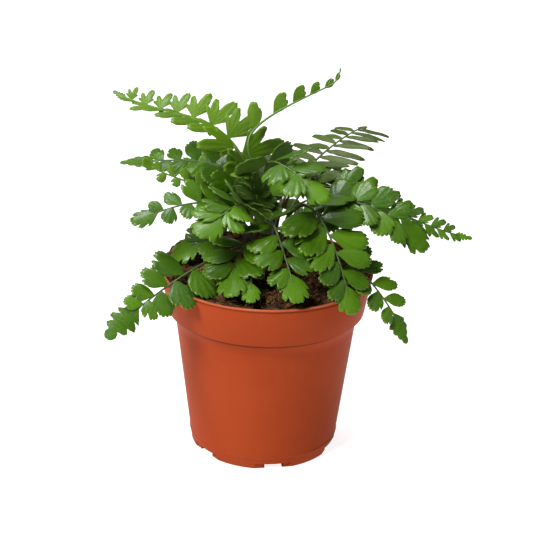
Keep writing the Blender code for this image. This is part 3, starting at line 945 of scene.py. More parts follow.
@dataclass
class Crown:
    """The rhizome at soil level, clad in brown scales."""

    place: Vector = field(default_factory=lambda: Vector((-1.0, 6.0, 0.0)) * MM)
    base: float = 97.5 * MM
    radius: float = 9.0 * MM
    height: float = 8.0 * MM
    sunk: float = 1.5 * MM
    scales: int = 150
    scale_turn: float = math.radians(137.5)
    scale_lengths: tuple[float, float] = (1.6 * MM, 3.2 * MM)
    scale_radii: tuple[float, ...] = (0.42 * MM, 0.38 * MM, 0.2 * MM, 0.04 * MM)
    scale_stations: tuple[float, ...] = (0.0, 0.35, 0.7, 1.0)
    scale_lean: float = 0.25 * MM
    seed: int = 11
    finish: MixFinish = MixFinish(
        "crown_scales", (0.018, 0.009, 0.004), (0.07, 0.034, 0.014), (0.20, 0.11, 0.05), 700.0
    )

    def scaled(self, way: Vector) -> Vector:
        """A direction on the unit ball as a step from the dome's middle to its surface."""
        return Vector((way.x * self.radius, way.y * self.radius, way.z * self.height))

    def build(self) -> Any:
        """A lumpy dome with pointed scales in a rising spiral."""
        deselect_all()
        bpy.ops.mesh.primitive_uv_sphere_add(segments=48, ring_count=24, radius=1.0)
        dome = bpy.context.object
        for vertex in dome.data.vertices:
            lump = 1.0 + 0.10 * noise.noise(vertex.co * 2.5)
            vertex.co = self.scaled(vertex.co) * lump
            vertex.co.z = max(vertex.co.z, -self.sunk)
            vertex.co += Vector((self.place.x, self.place.y, self.base))
        points = [vertex.co.copy() for vertex in dome.data.vertices]
        polygons = [tuple(polygon.vertices) for polygon in dome.data.polygons]
        bpy.data.objects.remove(dome, do_unlink=True)
        self.add_scales(points, polygons)
        piece = piece_from(points, polygons)
        smooth_by_angle(piece, 40.0)
        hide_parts("crown")
        return dress(piece, "crown_rhizome", [self.finish.material()])

    def add_scales(self, points: Points, polygons: Polygons) -> None:
        """Append thin pointed scales that lean up the dome.

        Args:
            points: The corners so far.
            polygons: The faces so far.
        """
        chance = random.Random(self.seed)
        for index in range(self.scales):
            turn = index * self.scale_turn
            rise = math.radians(4.0 + 80.0 * index / self.scales)
            flat = math.cos(rise)
            outward = Vector((math.cos(turn) * flat, math.sin(turn) * flat, math.sin(rise)))
            spot = self.scaled(outward)
            spot += Vector((self.place.x, self.place.y, self.base))
            across = outward.cross(UP).normalized()
            up = across.cross(outward).normalized() + outward * chance.uniform(0.3, 0.9)
            length = chance.uniform(*self.scale_lengths)
            step = up * length + outward * self.scale_lean
            path = [spot + step * share for share in self.scale_stations]
            add_tube(points, polygons, path, self.scale_radii, 5)


# ---------------------------------------------------------------------------------------------
# Fronds
# ---------------------------------------------------------------------------------------------


class Form(Enum):
    """Leaflet outlines."""

    BROAD = "broad"
    CUT = "cut"
    MITTEN = "mitten"
    STRAP = "strap"
    BUD = "bud"
    FAN = "fan"
    LANCE = "lance"


@dataclass(frozen=True)
class Outline:
    """A leaflet outline as a fan seen from its stalk: an egg with teeth and lobes.

    The egg's centre lies at a share of the length. Lobes are (place, reach, half-width) triples in
    shares of the half fan; notches are (place, depth, half-width) triples.
    """

    centre: float = 0.58
    teeth: int = 10
    tooth: float = 0.055
    lobes: tuple[tuple[float, float, float], ...] = ()
    notches: tuple[tuple[float, float, float], ...] = ()
    web: float = 0.26
    blunt: float = 2.6
    spread: float = 1.0
    lines: int = 32

    def point(
        self, ratio: float, share: float, phase: float, own: Sequence[tuple[float, float, float]] = ()
    ) -> tuple[float, float]:
        """One outline point, in shares of the leaflet's length.

        Args:
            ratio: The leaflet's width over its length.
            share: Place across the fan, from -1 to 1.
            phase: Shifts the teeth from leaflet to leaflet.
            own: Notches that this leaflet has beside its form's.

        Returns:
            The point's place along and across the leaflet.
        """
        half, long = ratio / 2.0, 1.0 - self.centre
        widest = math.atan2(half, math.sqrt(self.centre**2 - long**2))
        turn = widest * share * self.spread
        cosine, sine = math.cos(turn), math.sin(turn)
        square = (cosine / long) ** 2 + (sine / half) ** 2
        linear = self.centre * cosine / long**2
        inside = linear**2 - square * (self.centre**2 / long**2 - 1.0)
        reach = (linear + math.sqrt(max(0.0, inside))) / square
        if self.lobes:
            reach = max(self.web, max(self.finger(share, *lobe) for lobe in self.lobes))
        margin = 1.0 - share**4
        wave = abs(math.sin(math.pi * (self.teeth * (share + 1.0) / 2.0 + phase)))
        reach *= 1.0 + self.tooth * margin * (wave**0.6 - 0.75)
        for place, depth, width in (*self.notches, *own):
            reach *= 1.0 - depth * math.exp(-(((share - place) / width) ** 2))
        return reach * cosine, reach * sine

    def finger(self, share: float, place: float, reach: float, width: float) -> float:
        """How far one finger reaches at a place across the fan."""
        off = min(1.0, abs(share - place) / width)
        return reach * (1.0 - off**self.blunt) ** 0.8


@dataclass(frozen=True)
class Strip:
    """The outline of a frond's last leaflet: rounded lobes in pairs along the midrib.

    Each lobe is its place along the leaflet, its half-length and its reach to the side.
    """

    lobes: tuple[tuple[float, float, float], ...]
    lean: float = 0.45
    stagger: float = 0.03
    teeth: int = 11
    tooth: float = 0.09
    stations: int = 66
    columns: int = 10

    def half_width(self, place: float, side: int, phase: float) -> float:
        """Half the width at a share of the length, in shares of the greatest half width.

        Args:
            place: Share of the length.
            side: 1 or -1.
            phase: Shifts the teeth.

        Returns:
            The half width.
        """
        reach = 0.10 * min(1.0, 4.0 * (1.0 - place))
        for index, (middle, half, width) in enumerate(self.lobes):
            last = index == len(self.lobes) - 1
            shift = 0.0 if last else self.stagger * side
            off = (place - middle - shift) / half
            if abs(off) < 1.0:
                reach = max(reach, width * (1.0 - off * off) ** 0.55)
        scallop = abs(math.sin(math.pi * (self.teeth * place + phase))) ** 0.7
        base = min(1.0, place / 0.22)
        return max(0.03, reach * base * (1.0 - self.tooth * (1.0 - scallop)))


OUTLINES = {
    Form.BROAD: Outline(teeth=11, tooth=0.065, lines=44),
    Form.CUT: Outline(
        centre=0.60,
        teeth=7,
        tooth=0.05,
        lobes=((0.20, 1.0, 0.56), (-0.50, 0.80, 0.42), (0.82, 0.58, 0.30)),
        spread=1.2,
        lines=36,
    ),
    Form.MITTEN: Outline(
        centre=0.60,
        teeth=13,
        tooth=0.07,
        lobes=((-0.28, 1.0, 0.50), (0.40, 0.80, 0.38), (0.86, 0.58, 0.26)),
        web=0.50,
        blunt=1.9,
        spread=1.15,
        lines=44,
    ),
    Form.STRAP: Outline(centre=0.52, teeth=9, tooth=0.05, notches=((0.30, 0.12, 0.08),), lines=28),
    Form.BUD: Outline(centre=0.58, teeth=4, tooth=0.05, notches=((0.30, 0.14, 0.10),), lines=24),
    Form.FAN: Outline(
        centre=0.57,
        teeth=13,
        tooth=0.055,
        notches=((0.34, 0.17, 0.05), (-0.32, 0.18, 0.05), (0.70, 0.26, 0.06), (-0.68, 0.27, 0.06)),
        lines=56,
    ),
}

ENDS = {
    Form.BROAD: Strip(((0.20, 0.13, 0.95), (0.42, 0.14, 1.0), (0.64, 0.13, 0.78), (0.86, 0.15, 0.42))),
    Form.CUT: Strip(
        ((0.20, 0.11, 0.95), (0.40, 0.11, 0.80), (0.59, 0.11, 0.62), (0.82, 0.18, 0.42)), lean=0.7
    ),
    Form.LANCE: Strip(
        ((0.26, 0.17, 1.0), (0.47, 0.19, 0.90), (0.66, 0.18, 0.62), (0.86, 0.14, 0.34)), tooth=0.05
    ),
    Form.STRAP: Strip(((0.28, 0.20, 1.0), (0.52, 0.20, 0.75), (0.78, 0.22, 0.50)), tooth=0.03),
    Form.BUD: Strip(((0.55, 0.45, 1.0),), tooth=0.0),
}


class Tone(Enum):
    """Leaf colours."""

    MATURE = "mature"
    YOUNG = "young"
    OLIVE = "olive"


@dataclass(frozen=True)
class Arch:
    """A frond's midrib as one bending line, in millimetres and degrees."""

    heading: float
    lean: float
    rise: float
    reach: float
    height: float
    pitch: float
    run: float
    swing: float = 0.0
    perch: float = 20.0
    curl: float = 0.0
    curl_radius: float = 4.0


@dataclass(frozen=True)
class Blade:
    """What grows along a midrib: leaflet count, sizes in millimetres and tilts in degrees."""

    bare: float = 0.35
    pairs: int = 5
    leaflet: float = 15.0
    ratio: float = 0.8
    end: float = 15.0
    roll: float = 0.0
    lift: float = 12.0
    sweep: float = 12.0
    taper: float = 0.4
    form: Form = Form.BROAD
    end_form: Form = Form.FAN
    end_ratio: float = 0.85
    skew: float = 0.0
    gather: float = 0.0
    one_sided: bool = False
    stout: float = 1.0
    tone: Tone = Tone.MATURE

    @property
    def young(self) -> bool:
        """Whether the frond is still young."""
        return self.tone is Tone.YOUNG


FRONDS: dict[str, tuple[Arch, Blade]] = {
    "frond_front_right": (
        Arch(-52, 76, 46, 67, 89, -54, 59, -16),
        Blade(0.38, 5, 26, 0.62, 14, roll=5, taper=0.55, end_ratio=1.0),
    ),
    "frond_front": (Arch(-75, 85, 7, 61, 97, -42, 73, 6), Blade(0.28, 4, 22, 0.70, 15, end_ratio=0.95)),
    "frond_front_left": (
        Arch(-105, 82, 15, 56, 97, -33, 29, 23),
        Blade(0.24, 3, 24, 0.75, 17, end_ratio=0.9),
    ),
    "frond_left_low": (
        Arch(223, 70, 14, 97, 80, -40, 22, -1),
        Blade(0.39, 4, 20, 0.80, 22, roll=-35, taper=0.6, gather=0.35, end_form=Form.BROAD, end_ratio=0.66),
    ),
    "frond_right": (
        Arch(-14, 70, 33, 80, 109, -45, 45, -4),
        Blade(0.30, 5, 18, 0.8, 18, roll=32, taper=0.3, end_ratio=0.9),
    ),
    "frond_centre_right": (
        Arch(-53, 88, 22, 46, 138, -29, 67, 13, perch=60),
        Blade(0.42, 3, 21, 0.68, 17, roll=10, taper=0.2, end_ratio=0.85),
    ),
    "frond_centre_left": (
        Arch(238, 78, 42, 59, 125, -11, 34, -4),
        Blade(0.24, 5, 18, 0.8, 18, roll=-20, taper=0.2),
    ),
    "frond_left_mid": (
        Arch(203, 60, 35, 69, 122, -16, 29, 0, perch=60),
        Blade(0.32, 4, 17, 0.75, 14, roll=-30, taper=0.55, end_ratio=0.75),
    ),
    "frond_right_low": (
        Arch(-33, 44, 34, 81, 71, -67, 26, 1),
        Blade(0.42, 4, 16, 0.60, 17, roll=10, taper=0.3, end_form=Form.LANCE, end_ratio=0.7),
    ),
    "frond_upper_left": (
        Arch(151, 88, 75, 91, 167, 22, 39, 3, perch=60),
        Blade(
            0.27, 8, 26, 0.70, 9, roll=-14, lift=24, sweep=14, taper=0.68, skew=-12, gather=0.2, stout=1.5,
            form=Form.MITTEN, end_form=Form.CUT, end_ratio=0.7, tone=Tone.YOUNG,
        ),
    ),
    "frond_crozier": (
        Arch(47, 88, 50, 44, 175.5, 15, 84, -14, perch=80, curl=80, curl_radius=8),
        Blade(
            0.46, 6, 14.8, 0.52, 2.5, roll=52, lift=10, sweep=56, taper=0.78, gather=0.5, stout=1.1,
            one_sided=True, form=Form.BUD, end_form=Form.BUD, end_ratio=0.3, tone=Tone.YOUNG,
        ),
    ),
    "frond_far_right": (
        Arch(5, 88, 58, 104, 105, -12, 46, 3, perch=60),
        Blade(
            0.40, 9, 17, 0.55, 10, roll=35, sweep=24, taper=0.6,
            form=Form.CUT, end_form=Form.CUT, end_ratio=0.6,
        ),
    ),
    "frond_back_right": (
        Arch(56, 88, 28, 95, 142, -12, 23, 7, perch=60),
        Blade(
            0.30, 10, 25, 0.20, 10, roll=0, lift=0, sweep=-2, taper=0.35,
            form=Form.STRAP, end_form=Form.STRAP, end_ratio=0.5, tone=Tone.OLIVE,
        ),
    ),
    "frond_left_upper": (
        Arch(166, 76, 40, 76, 137, -9, 70, 3),
        Blade(0.34, 5, 15, 0.75, 20, roll=-35, end_form=Form.LANCE, end_ratio=0.38),
    ),
    "frond_left_young": (
        Arch(186, 76, 41, 60, 147, 49, 19, -5),
        Blade(0.50, 4, 9, 0.7, 8, roll=-35, tone=Tone.YOUNG),
    ),
    "frond_left_inner": (
        Arch(197, 45, 14, 47, 98, -50, 16, 1, perch=10),
        Blade(0.36, 2, 17, 0.85, 17, roll=-25),
    ),
    "frond_seedling": (Arch(-96, 60, 16, 56, 95, -35, 30, 10, perch=5), Blade(0.50, 2, 9, 0.6, 11)),
    "frond_centre_top": (Arch(235, 70, 40, 26, 144, -5, 16, 4, perch=80), Blade(0.28, 4, 14, 0.8, 13)),
    "frond_inner_right": (
        Arch(-1, 60, 24, 50, 116, -30, 20, 0, perch=10),
        Blade(0.24, 4, 18, 0.8, 15, roll=15),
    ),
    "frond_back_right_low": (
        Arch(35, 88, 27, 59, 125, -52, 27, 1),
        Blade(
            0.40, 5, 18, 0.45, 15, lift=4,
            form=Form.STRAP, end_form=Form.LANCE, end_ratio=0.45, tone=Tone.OLIVE,
        ),
    ),
    "frond_left_back": (Arch(145, 70, 47, 58, 134, 6, 23, 4), Blade(0.20, 6, 20, 0.8, 14, roll=-25)),
    "frond_back_right_inner": (
        Arch(66, 75, 40, 62, 118, -50, 30, 0),
        Blade(0.18, 7, 22, 0.7, 15, tone=Tone.OLIVE),
    ),
    "frond_back": (Arch(92, 65, 40, 76, 106, -55, 34, 4, perch=60), Blade(0.18, 7, 22, 0.75, 16)),
    "frond_back_left": (Arch(120, 72, 38, 66, 112, -50, 30, -4), Blade(0.18, 7, 22, 0.75, 15)),
}


def direction(heading: float, pitch: float) -> Vector:
    """The unit vector at a compass angle and an angle above the level, in degrees.

    Args:
        heading: The compass angle.
        pitch: The angle above the level.

    Returns:
        The vector.
    """
    turn, rise = math.radians(heading), math.radians(pitch)
    flat = math.cos(rise)
    return Vector((math.cos(turn) * flat, math.sin(turn) * flat, math.sin(rise)))


class Midrib:
    """A frond's line by arc length, with a frame of tangent, side and normal."""

    STEPS = 120
    CURL_STEP = 10.0
    STAND_OFF = 0.7 * MM

    def __init__(self, arch: Arch, roll: float, crown: Crown) -> None:
        """Work out the line.

        Args:
            arch: The frond's line.
            roll: Turn of its blade about the line, in degrees.
            crown: Where it grows from.
        """
        self.points = self.curve(arch, crown)
        self.lengths = [0.0]
        for here, after in zip(self.points, self.points[1:]):
            self.lengths.append(self.lengths[-1] + (after - here).length)
        self.length = self.lengths[-1]
        turn = math.radians(arch.heading)
        self.level_side = Vector((math.sin(turn), -math.cos(turn), 0.0))
        self.roll = math.radians(roll)

    def curve(self, arch: Arch, crown: Crown) -> Points:
        """Evenly timed points along a cubic curve, and its curled end if it has one.

        Args:
            arch: The frond's line.
            crown: Where it grows from.

        Returns:
            The points.
        """
        outward = direction(arch.heading, 0.0)
        perch = math.radians(arch.perch)
        start = crown.place + outward * (crown.radius + self.STAND_OFF) * math.cos(perch)
        start.z = crown.base + (crown.height + self.STAND_OFF) * math.sin(perch)
        climb = start + direction(arch.heading, arch.lean) * arch.rise * MM
        tip = crown.place + outward * arch.reach * MM
        tip.z = arch.height * MM
        forward = direction(arch.heading + arch.swing, arch.pitch)
        approach = tip - forward * arch.run * MM
        points = []
        for index in range(self.STEPS + 1):
            t = index / self.STEPS
            s = 1.0 - t
            points.append(s**3 * start + 3 * s * s * t * climb + 3 * s * t * t * approach + t**3 * tip)
        upward = (UP - forward * forward.z).normalized()
        steps = int(arch.curl / self.CURL_STEP)
        for index in range(1, steps + 1):
            turn = math.radians(arch.curl) * index / steps
            side = forward * math.sin(turn) + upward * (1.0 - math.cos(turn))
            points.append(tip + side * arch.curl_radius * MM)
        return points

    def place(self, distance: float) -> Vector:
        """The point at a distance from the crown.

        Args:
            distance: The distance along the line.

        Returns:
            The point.
        """
        distance = min(max(distance, 0.0), self.length)
        index = 1
        while index < len(self.lengths) - 1 and self.lengths[index] < distance:
            index += 1
        before, after = self.lengths[index - 1], self.lengths[index]
        share = (distance - before) / (after - before)
        return self.points[index - 1].lerp(self.points[index], share)

    def frame(self, distance: float) -> tuple[Vector, Vector, Vector]:
        """Tangent, right-hand side and upward normal there.

        Args:
            distance: The distance along the line.

        Returns:
            The three unit vectors.
        """
        step = 1.0 * MM
        tangent = (self.place(distance + step) - self.place(distance - step)).normalized()
        side = self.level_side - tangent * self.level_side.dot(tangent)
        side.normalize()
        side = Matrix.Rotation(self.roll, 3, tangent) @ side
        return tangent, side, side.cross(tangent).normalized()


@dataclass
class Leaflet:
    """One leaflet's seat on the midrib, its size and its tilts in degrees."""

    distance: float
    side: int
    length: float
    width: float
    sweep: float
    lift: float
    twist: float
    share: float

    def axes(self, midrib: Midrib) -> tuple[Vector, Vector, Vector, Vector]:
        """Seat, and the directions along, across and out of the leaflet.

        Args:
            midrib: The line that it sits on.

        Returns:
            The seat and the three unit vectors.
        """
        tangent, side, normal = midrib.frame(self.distance)
        outward = side * self.side
        sweep, lift = math.radians(self.sweep), math.radians(self.lift)
        along = (outward * math.cos(sweep) + tangent * math.sin(sweep)).normalized()
        along = (along * math.cos(lift) + normal * math.sin(lift)).normalized()
        across = (tangent - along * tangent.dot(along)).normalized()
        across = Matrix.Rotation(math.radians(self.twist) * self.side, 3, along) @ across
        face = along.cross(across).normalized()
        if face.dot(normal) < 0.0:
            face.negate()
        return midrib.place(self.distance), along, across, face


class Room:
    """What is already grown, so that a new leaflet can be tested for room."""

    def __init__(self) -> None:
        """Start empty."""
        self.taken: list[tuple[Any, BVHTree, str]] = []

    @staticmethod
    def bounds(points: Points) -> tuple[list[float], list[float]]:
        """Lowest and highest corners of some points.

        Args:
            points: The points.

        Returns:
            The two corners.
        """
        low = [min(point[axis] for point in points) for axis in range(3)]
        high = [max(point[axis] for point in points) for axis in range(3)]
        return low, high

    def add(self, points: Points, polygons: Polygons, owner: str = "") -> None:
        """Take up the space of a shell."""
        self.taken.append((self.bounds(points), BVHTree.FromPolygons(points, polygons), owner))

    def is_free(self, points: Points, polygons: Polygons, owner: str) -> bool:
        """Whether a shell touches nothing but shells of its own owner.

        Args:
            points: The shell's corners.
            polygons: Its faces.
            owner: The frond whose shells are passed over.

        Returns:
            True if it touches nothing else.
        """
        low, high = self.bounds(points)
        shell = None
        for (other_low, other_high), other, name in self.taken:
            apart = any(low[axis] > other_high[axis] or high[axis] < other_low[axis] for axis in range(3))
            if apart or name == owner:
                continue
            shell = shell or BVHTree.FromPolygons(points, polygons)
            if shell.overlap(other):
                return False
        return True


class Sheet:
    """A frond's growing mesh: corners, faces, blade coordinates and leaflet values."""

    def __init__(self) -> None:
        """Start empty."""
        self.points: Points = []
        self.polygons: Polygons = []
        self.blade: list[tuple[float, float]] = []
        self.leaflet: list[tuple[float, float]] = []

    def grid(
        self,
        rows: Sequence[Sequence[Vector]],
        blade: Sequence[Sequence[tuple[float, float]]],
        chance: float,
        youth: float,
        turn_over: bool,
    ) -> None:
        """Append a grid of points.

        Args:
            rows: Rows of points, each from one edge to the other.
            blade: The points' places along the rim and out to it, from 0 to 1.
            chance: The leaflet's own random value.
            youth: How young it is, from 0 to 1.
            turn_over: Whether the faces have to be turned over to look up.
        """
        start, width = len(self.points), len(rows[0])
        for row, places in zip(rows, blade):
            self.points += row
            self.blade += places
            self.leaflet += [(chance, youth)] * width
        for index in range(len(rows) - 1):
            for column in range(width - 1):
                corner = start + index * width + column
                face = (corner, corner + 1, corner + width + 1, corner + width)
                self.polygons.append(tuple(reversed(face)) if turn_over else face)

    def piece(self) -> Any:
        """The sheet as an object with its blade map and leaflet values."""
        piece = piece_from(self.points, self.polygons)
        mesh = piece.data
        layer = mesh.uv_layers.new(name="blade")
        values = mesh.color_attributes.new(name="leaflet", type="FLOAT_COLOR", domain="POINT")
        for loop in mesh.loops:
            layer.data[loop.index].uv = self.blade[loop.vertex_index]
        for index, (chance, youth) in enumerate(self.leaflet):
            values.data[index].color = (chance, youth, 0.0, 1.0)
        return piece


@dataclass
class Foliage:
    """All the fronds, grown one after another in the room that is left."""

    crown: Crown
    thickness: float = 0.34 * MM
    test_thickness: float = 0.15 * MM
    stalk_radius: float = 0.75 * MM
    tip_radius: float = 0.36 * MM
    stalk_sides: int = 8
    length_spread: tuple[float, float] = (0.94, 1.08)
    width_spread: tuple[float, float] = (0.94, 1.06)
    angle_spread: tuple[float, float] = (-5.0, 5.0)
    lift_spread: tuple[float, float] = (-6.0, 6.0)
    stalk_steps: int = 44
    neck: float = 0.32 * MM
    crowding: float = 1.60
    sweep_gain: float = 24.0
    twist: float = 13.0
    rows: tuple[float, ...] = (0.0, 0.10, 0.26, 0.46, 0.68, 0.87, 1.0)
    tilt_trials: tuple[tuple[int, int], ...] = (
        (0, 0), (10, 0), (-10, 0), (0, 14), (0, -26), (14, 16), (-14, -26), (24, 0), (-24, 0),
        (26, 20), (-30, -30),
    )
    size_trials: tuple[float, ...] = (1.0, 0.9, 0.8, 0.65, 0.5)
    half_ring: tuple[tuple[float, float], ...] = (
        (0.12, -0.1), (0.4, -0.42), (0.65, -0.5), (0.9, -0.3), (1.0, 0.0),
    )
    seed: int = 3

    def __post_init__(self) -> None:
        """Lay out every midrib first, so that leaflets keep clear of all of them."""
        self.room = Room()
        self.midribs = {}
        for name, (arch, blade) in FRONDS.items():
            midrib = Midrib(arch, blade.roll, self.crown)
            self.midribs[name] = midrib
            end = midrib.length - blade.end * MM
            self.room.add(*self.midrib_shell(midrib, end), owner=name)
            self.room.add(*self.end_shell(midrib, blade))

    def midrib_shell(self, midrib: Midrib, end: float) -> tuple[Points, Polygons]:
        """A tube round a midrib, for testing room.

        Args:
            midrib: The line.
            end: Where the tube stops, by distance.

        Returns:
            Its corners and faces.
        """
        steps = max(2, int(end / (3.0 * MM)))
        path = [midrib.place(end * index / steps) for index in range(steps + 1)]
        points: Points = []
        polygons: Polygons = []
        add_tube(points, polygons, path, [self.stalk_radius + 0.1 * MM] * len(path), 5)
        return points, polygons

    def end_shell(self, midrib: Midrib, blade: Blade) -> tuple[Points, Polygons]:
        """A thin box round a frond's last leaflet, for testing room.

        Args:
            midrib: The line.
            blade: What grows on it.

        Returns:
            Its corners and faces.
        """
        length = blade.end * MM
        start = midrib.length - length
        _, side, normal = midrib.frame(start)
        along = (midrib.points[-1] - midrib.place(start)).normalized()
        return self.box(midrib.place(start), along, side, normal, length, length * blade.end_ratio)

    def planned(self, midrib: Midrib, blade: Blade, chance: random.Random) -> list[Leaflet]:
        """Leaflets alternate from side to side and shorten towards the tip.

        Args:
            midrib: The line.
            blade: What grows on it.
            chance: The frond's own random numbers.

        Returns:
            The leaflets before the test for room.
        """
        first = blade.bare * midrib.length
        last = midrib.length - blade.end * MM
        spacing = (last - first) / blade.pairs
        leaflets = []
        for index in range(2 * blade.pairs):
            if blade.one_sided and index % 2:
                continue
            share = (index + 0.5) / (2.0 * blade.pairs)
            along = (index + 0.4) / (2.0 * blade.pairs)
            along += blade.gather * along * (1.0 - along)
            side = 1 if index % 2 else -1
            length = blade.leaflet * MM * (1.0 - blade.taper * share)
            length *= chance.uniform(*self.length_spread)
            leaflets.append(
                Leaflet(
                    distance=first + (last - first) * along,
                    side=side,
                    length=length,
                    width=min(length * blade.ratio, spacing * self.crowding)
                    * chance.uniform(*self.width_spread),
                    sweep=blade.sweep
                    + side * blade.skew
                    + self.sweep_gain * share
                    + chance.uniform(*self.angle_spread),
                    lift=blade.lift + chance.uniform(*self.lift_spread),
                    twist=self.twist + chance.uniform(*self.angle_spread),
                    share=share,
                )
            )
        return leaflets

    def shell(self, midrib: Midrib, leaflet: Leaflet) -> tuple[Points, Polygons]:
        """A thin box round a leaflet, for testing room."""
        return self.box(*leaflet.axes(midrib), leaflet.length, leaflet.width)

    def box(
        self, seat: Vector, along: Vector, across: Vector, face: Vector, length: float, width: float
    ) -> tuple[Points, Polygons]:
        """A thin drooping box in a leaflet's outline.

        Args:
            seat: Where the leaflet meets the midrib.
            along: Its direction.
            across: Its side.
            face: Its normal.
            length: Its length.
            width: Its width.

        Returns:
            Its corners and faces.
        """
        ring = [*self.half_ring, *((out, -spread) for out, spread in reversed(self.half_ring[:-1]))]
        middle = []
        for out, spread in ring:
            droop = -0.10 * out * out * length
            middle.append(seat + along * out * length + across * spread * width + face * droop)
        count = len(middle)
        points = [point + face * self.test_thickness for point in middle]
        points += [point - face * self.test_thickness for point in middle]
        polygons: Polygons = [tuple(range(count)), tuple(range(2 * count - 1, count - 1, -1))]
        for index in range(count):
            after = (index + 1) % count
            polygons.append((index, after, count + after, count + index))
        return points, polygons

    def settle(self, name: str, midrib: Midrib, plan: Leaflet) -> Leaflet | None:
        """The first trial of a leaflet that touches nothing, or None.

        Args:
            name: The frond's name.
            midrib: Its line.
            plan: The leaflet as planned.

        Returns:
            The leaflet turned or shrunk as far as it has to be, or None without room.
        """
        for size in self.size_trials:
            for lift, twist in self.tilt_trials:
                small = replace(plan, length=plan.length * size, width=plan.width * size)
                trial = replace(small, lift=plan.lift + lift, twist=plan.twist + twist)
                shell = self.shell(midrib, trial)
                if self.room.is_free(*shell, owner=name):
                    self.room.add(*shell, owner=name)
                    return trial
        return None

    def grow_leaflet(
        self, sheet: Sheet, midrib: Midrib, blade: Blade, leaf: Leaflet, chance: random.Random
    ) -> None:
        """Append one cupped and rippled leaflet to the sheet.

        Args:
            sheet: The frond's mesh.
            midrib: Its line.
            blade: What grows on it.
            leaf: The leaflet.
            chance: The frond's own random numbers.
        """
        outline = OUTLINES[blade.form]
        seat, along, across, face = leaf.axes(midrib)
        phase, ripple = chance.choice((0.0, 0.25, 0.5, 0.75)), chance.uniform(0.004, 0.012)
        droop, cup = chance.uniform(0.06, 0.22), chance.uniform(0.1, 0.9)
        ratio = leaf.width / leaf.length
        own = []
        if blade.form is Form.BROAD:
            for place in (chance.uniform(0.2, 0.62), chance.uniform(-0.62, -0.2)):
                own.append((place, max(0.0, chance.uniform(-0.08, 0.32)), chance.uniform(0.045, 0.075)))
        rows, places = [], []
        for index, out in enumerate(self.rows):
            row, place_row = [], []
            for column in range(outline.lines + 1):
                share = 2.0 * column / outline.lines - 1.0
                x, y = outline.point(ratio, share, phase, own)
                y *= 1.10 if share > 0.0 else 0.94
                x, y = x * out, y * out + share * (1.0 - out) * self.neck / leaf.length
                wave = math.cos(math.tau * outline.teeth * (share + 1.0) / 4.0 + phase * 3.0)
                z = -droop * x * x - cup * y * y + ripple * wave * out * out
                row.append(seat + (along * x + across * y + face * z) * leaf.length)
                place_row.append((column / outline.lines, index / (len(self.rows) - 1)))
            rows.append(row)
            places.append(place_row)
        youth = 1.0 if blade.young else 0.35 * leaf.share
        sheet.grid(rows, places, chance.random(), youth, along.cross(across).dot(face) > 0.0)

    def grow_end(self, sheet: Sheet, midrib: Midrib, blade: Blade, chance: random.Random) -> None:
        """Append the last leaflet, which bends along the midrib's own line.

        Args:
            sheet: The frond's mesh.
            midrib: Its line.
            blade: What grows on it.
            chance: The frond's own random numbers.
        """
        length = blade.end * MM
        start = midrib.length - length
        grid = self.fan_grid(blade, chance) if blade.end_form is Form.FAN else self.strip_grid(blade, chance)
        rows, places = [], []
        for grid_row in grid:
            row = []
            for x, y, _, _ in grid_row:
                y += math.copysign(self.neck / length, y) * max(0.0, 1.0 - 4.0 * x)
                _, side, normal = midrib.frame(start + x * length)
                z = -0.45 * y * y - 0.03 * math.cos(math.tau * x * 2.5) * abs(y)
                row.append(midrib.place(start + x * length) + (side * y + normal * z) * length)
            rows.append(row)
            places.append([(along, out) for _, _, along, out in grid_row])
        tangent, side, normal = midrib.frame(start)
        youth = 1.0 if blade.young else 0.55
        turn_over = tangent.cross(side).dot(normal) > 0.0
        sheet.grid(rows, places, chance.random(), youth, turn_over)

    def fan_grid(self, blade: Blade, chance: random.Random) -> list[list[GridPoint]]:
        """A fan's places along and across, and its blade coordinates, row by row.

        Args:
            blade: What grows on the midrib.
            chance: The frond's own random numbers.

        Returns:
            Rows of (along, across, place on the rim, place out to it).
        """
        outline = OUTLINES[blade.end_form]
        phase = chance.choice((0.0, 0.25, 0.5, 0.75))
        rows = []
        for index, out in enumerate(self.rows):
            row = []
            for column in range(outline.lines + 1):
                share = 2.0 * column / outline.lines - 1.0
                x, y = outline.point(blade.end_ratio, share, phase)
                row.append((x * out, y * out, column / outline.lines, index / (len(self.rows) - 1)))
            rows.append(row)
        return rows

    def strip_grid(self, blade: Blade, chance: random.Random) -> list[list[GridPoint]]:
        """A strip's places along and across, and its blade coordinates, station by station.

        Args:
            blade: What grows on the midrib.
            chance: The frond's own random numbers.

        Returns:
            Rows of (along, across, place along, place out to the rim).
        """
        strip = ENDS[blade.end_form]
        phase = chance.uniform(0.0, 0.5)
        rows = []
        for index in range(strip.stations + 1):
            share = index / strip.stations
            row = []
            for column in range(strip.columns + 1):
                out = 2.0 * column / strip.columns - 1.0
                y = out * strip.half_width(share, 1 if out > 0.0 else -1, phase) * blade.end_ratio / 2.0
                row.append((share + strip.lean * abs(y) * (1.0 - share), y, share, abs(out)))
            rows.append(row)
        return rows

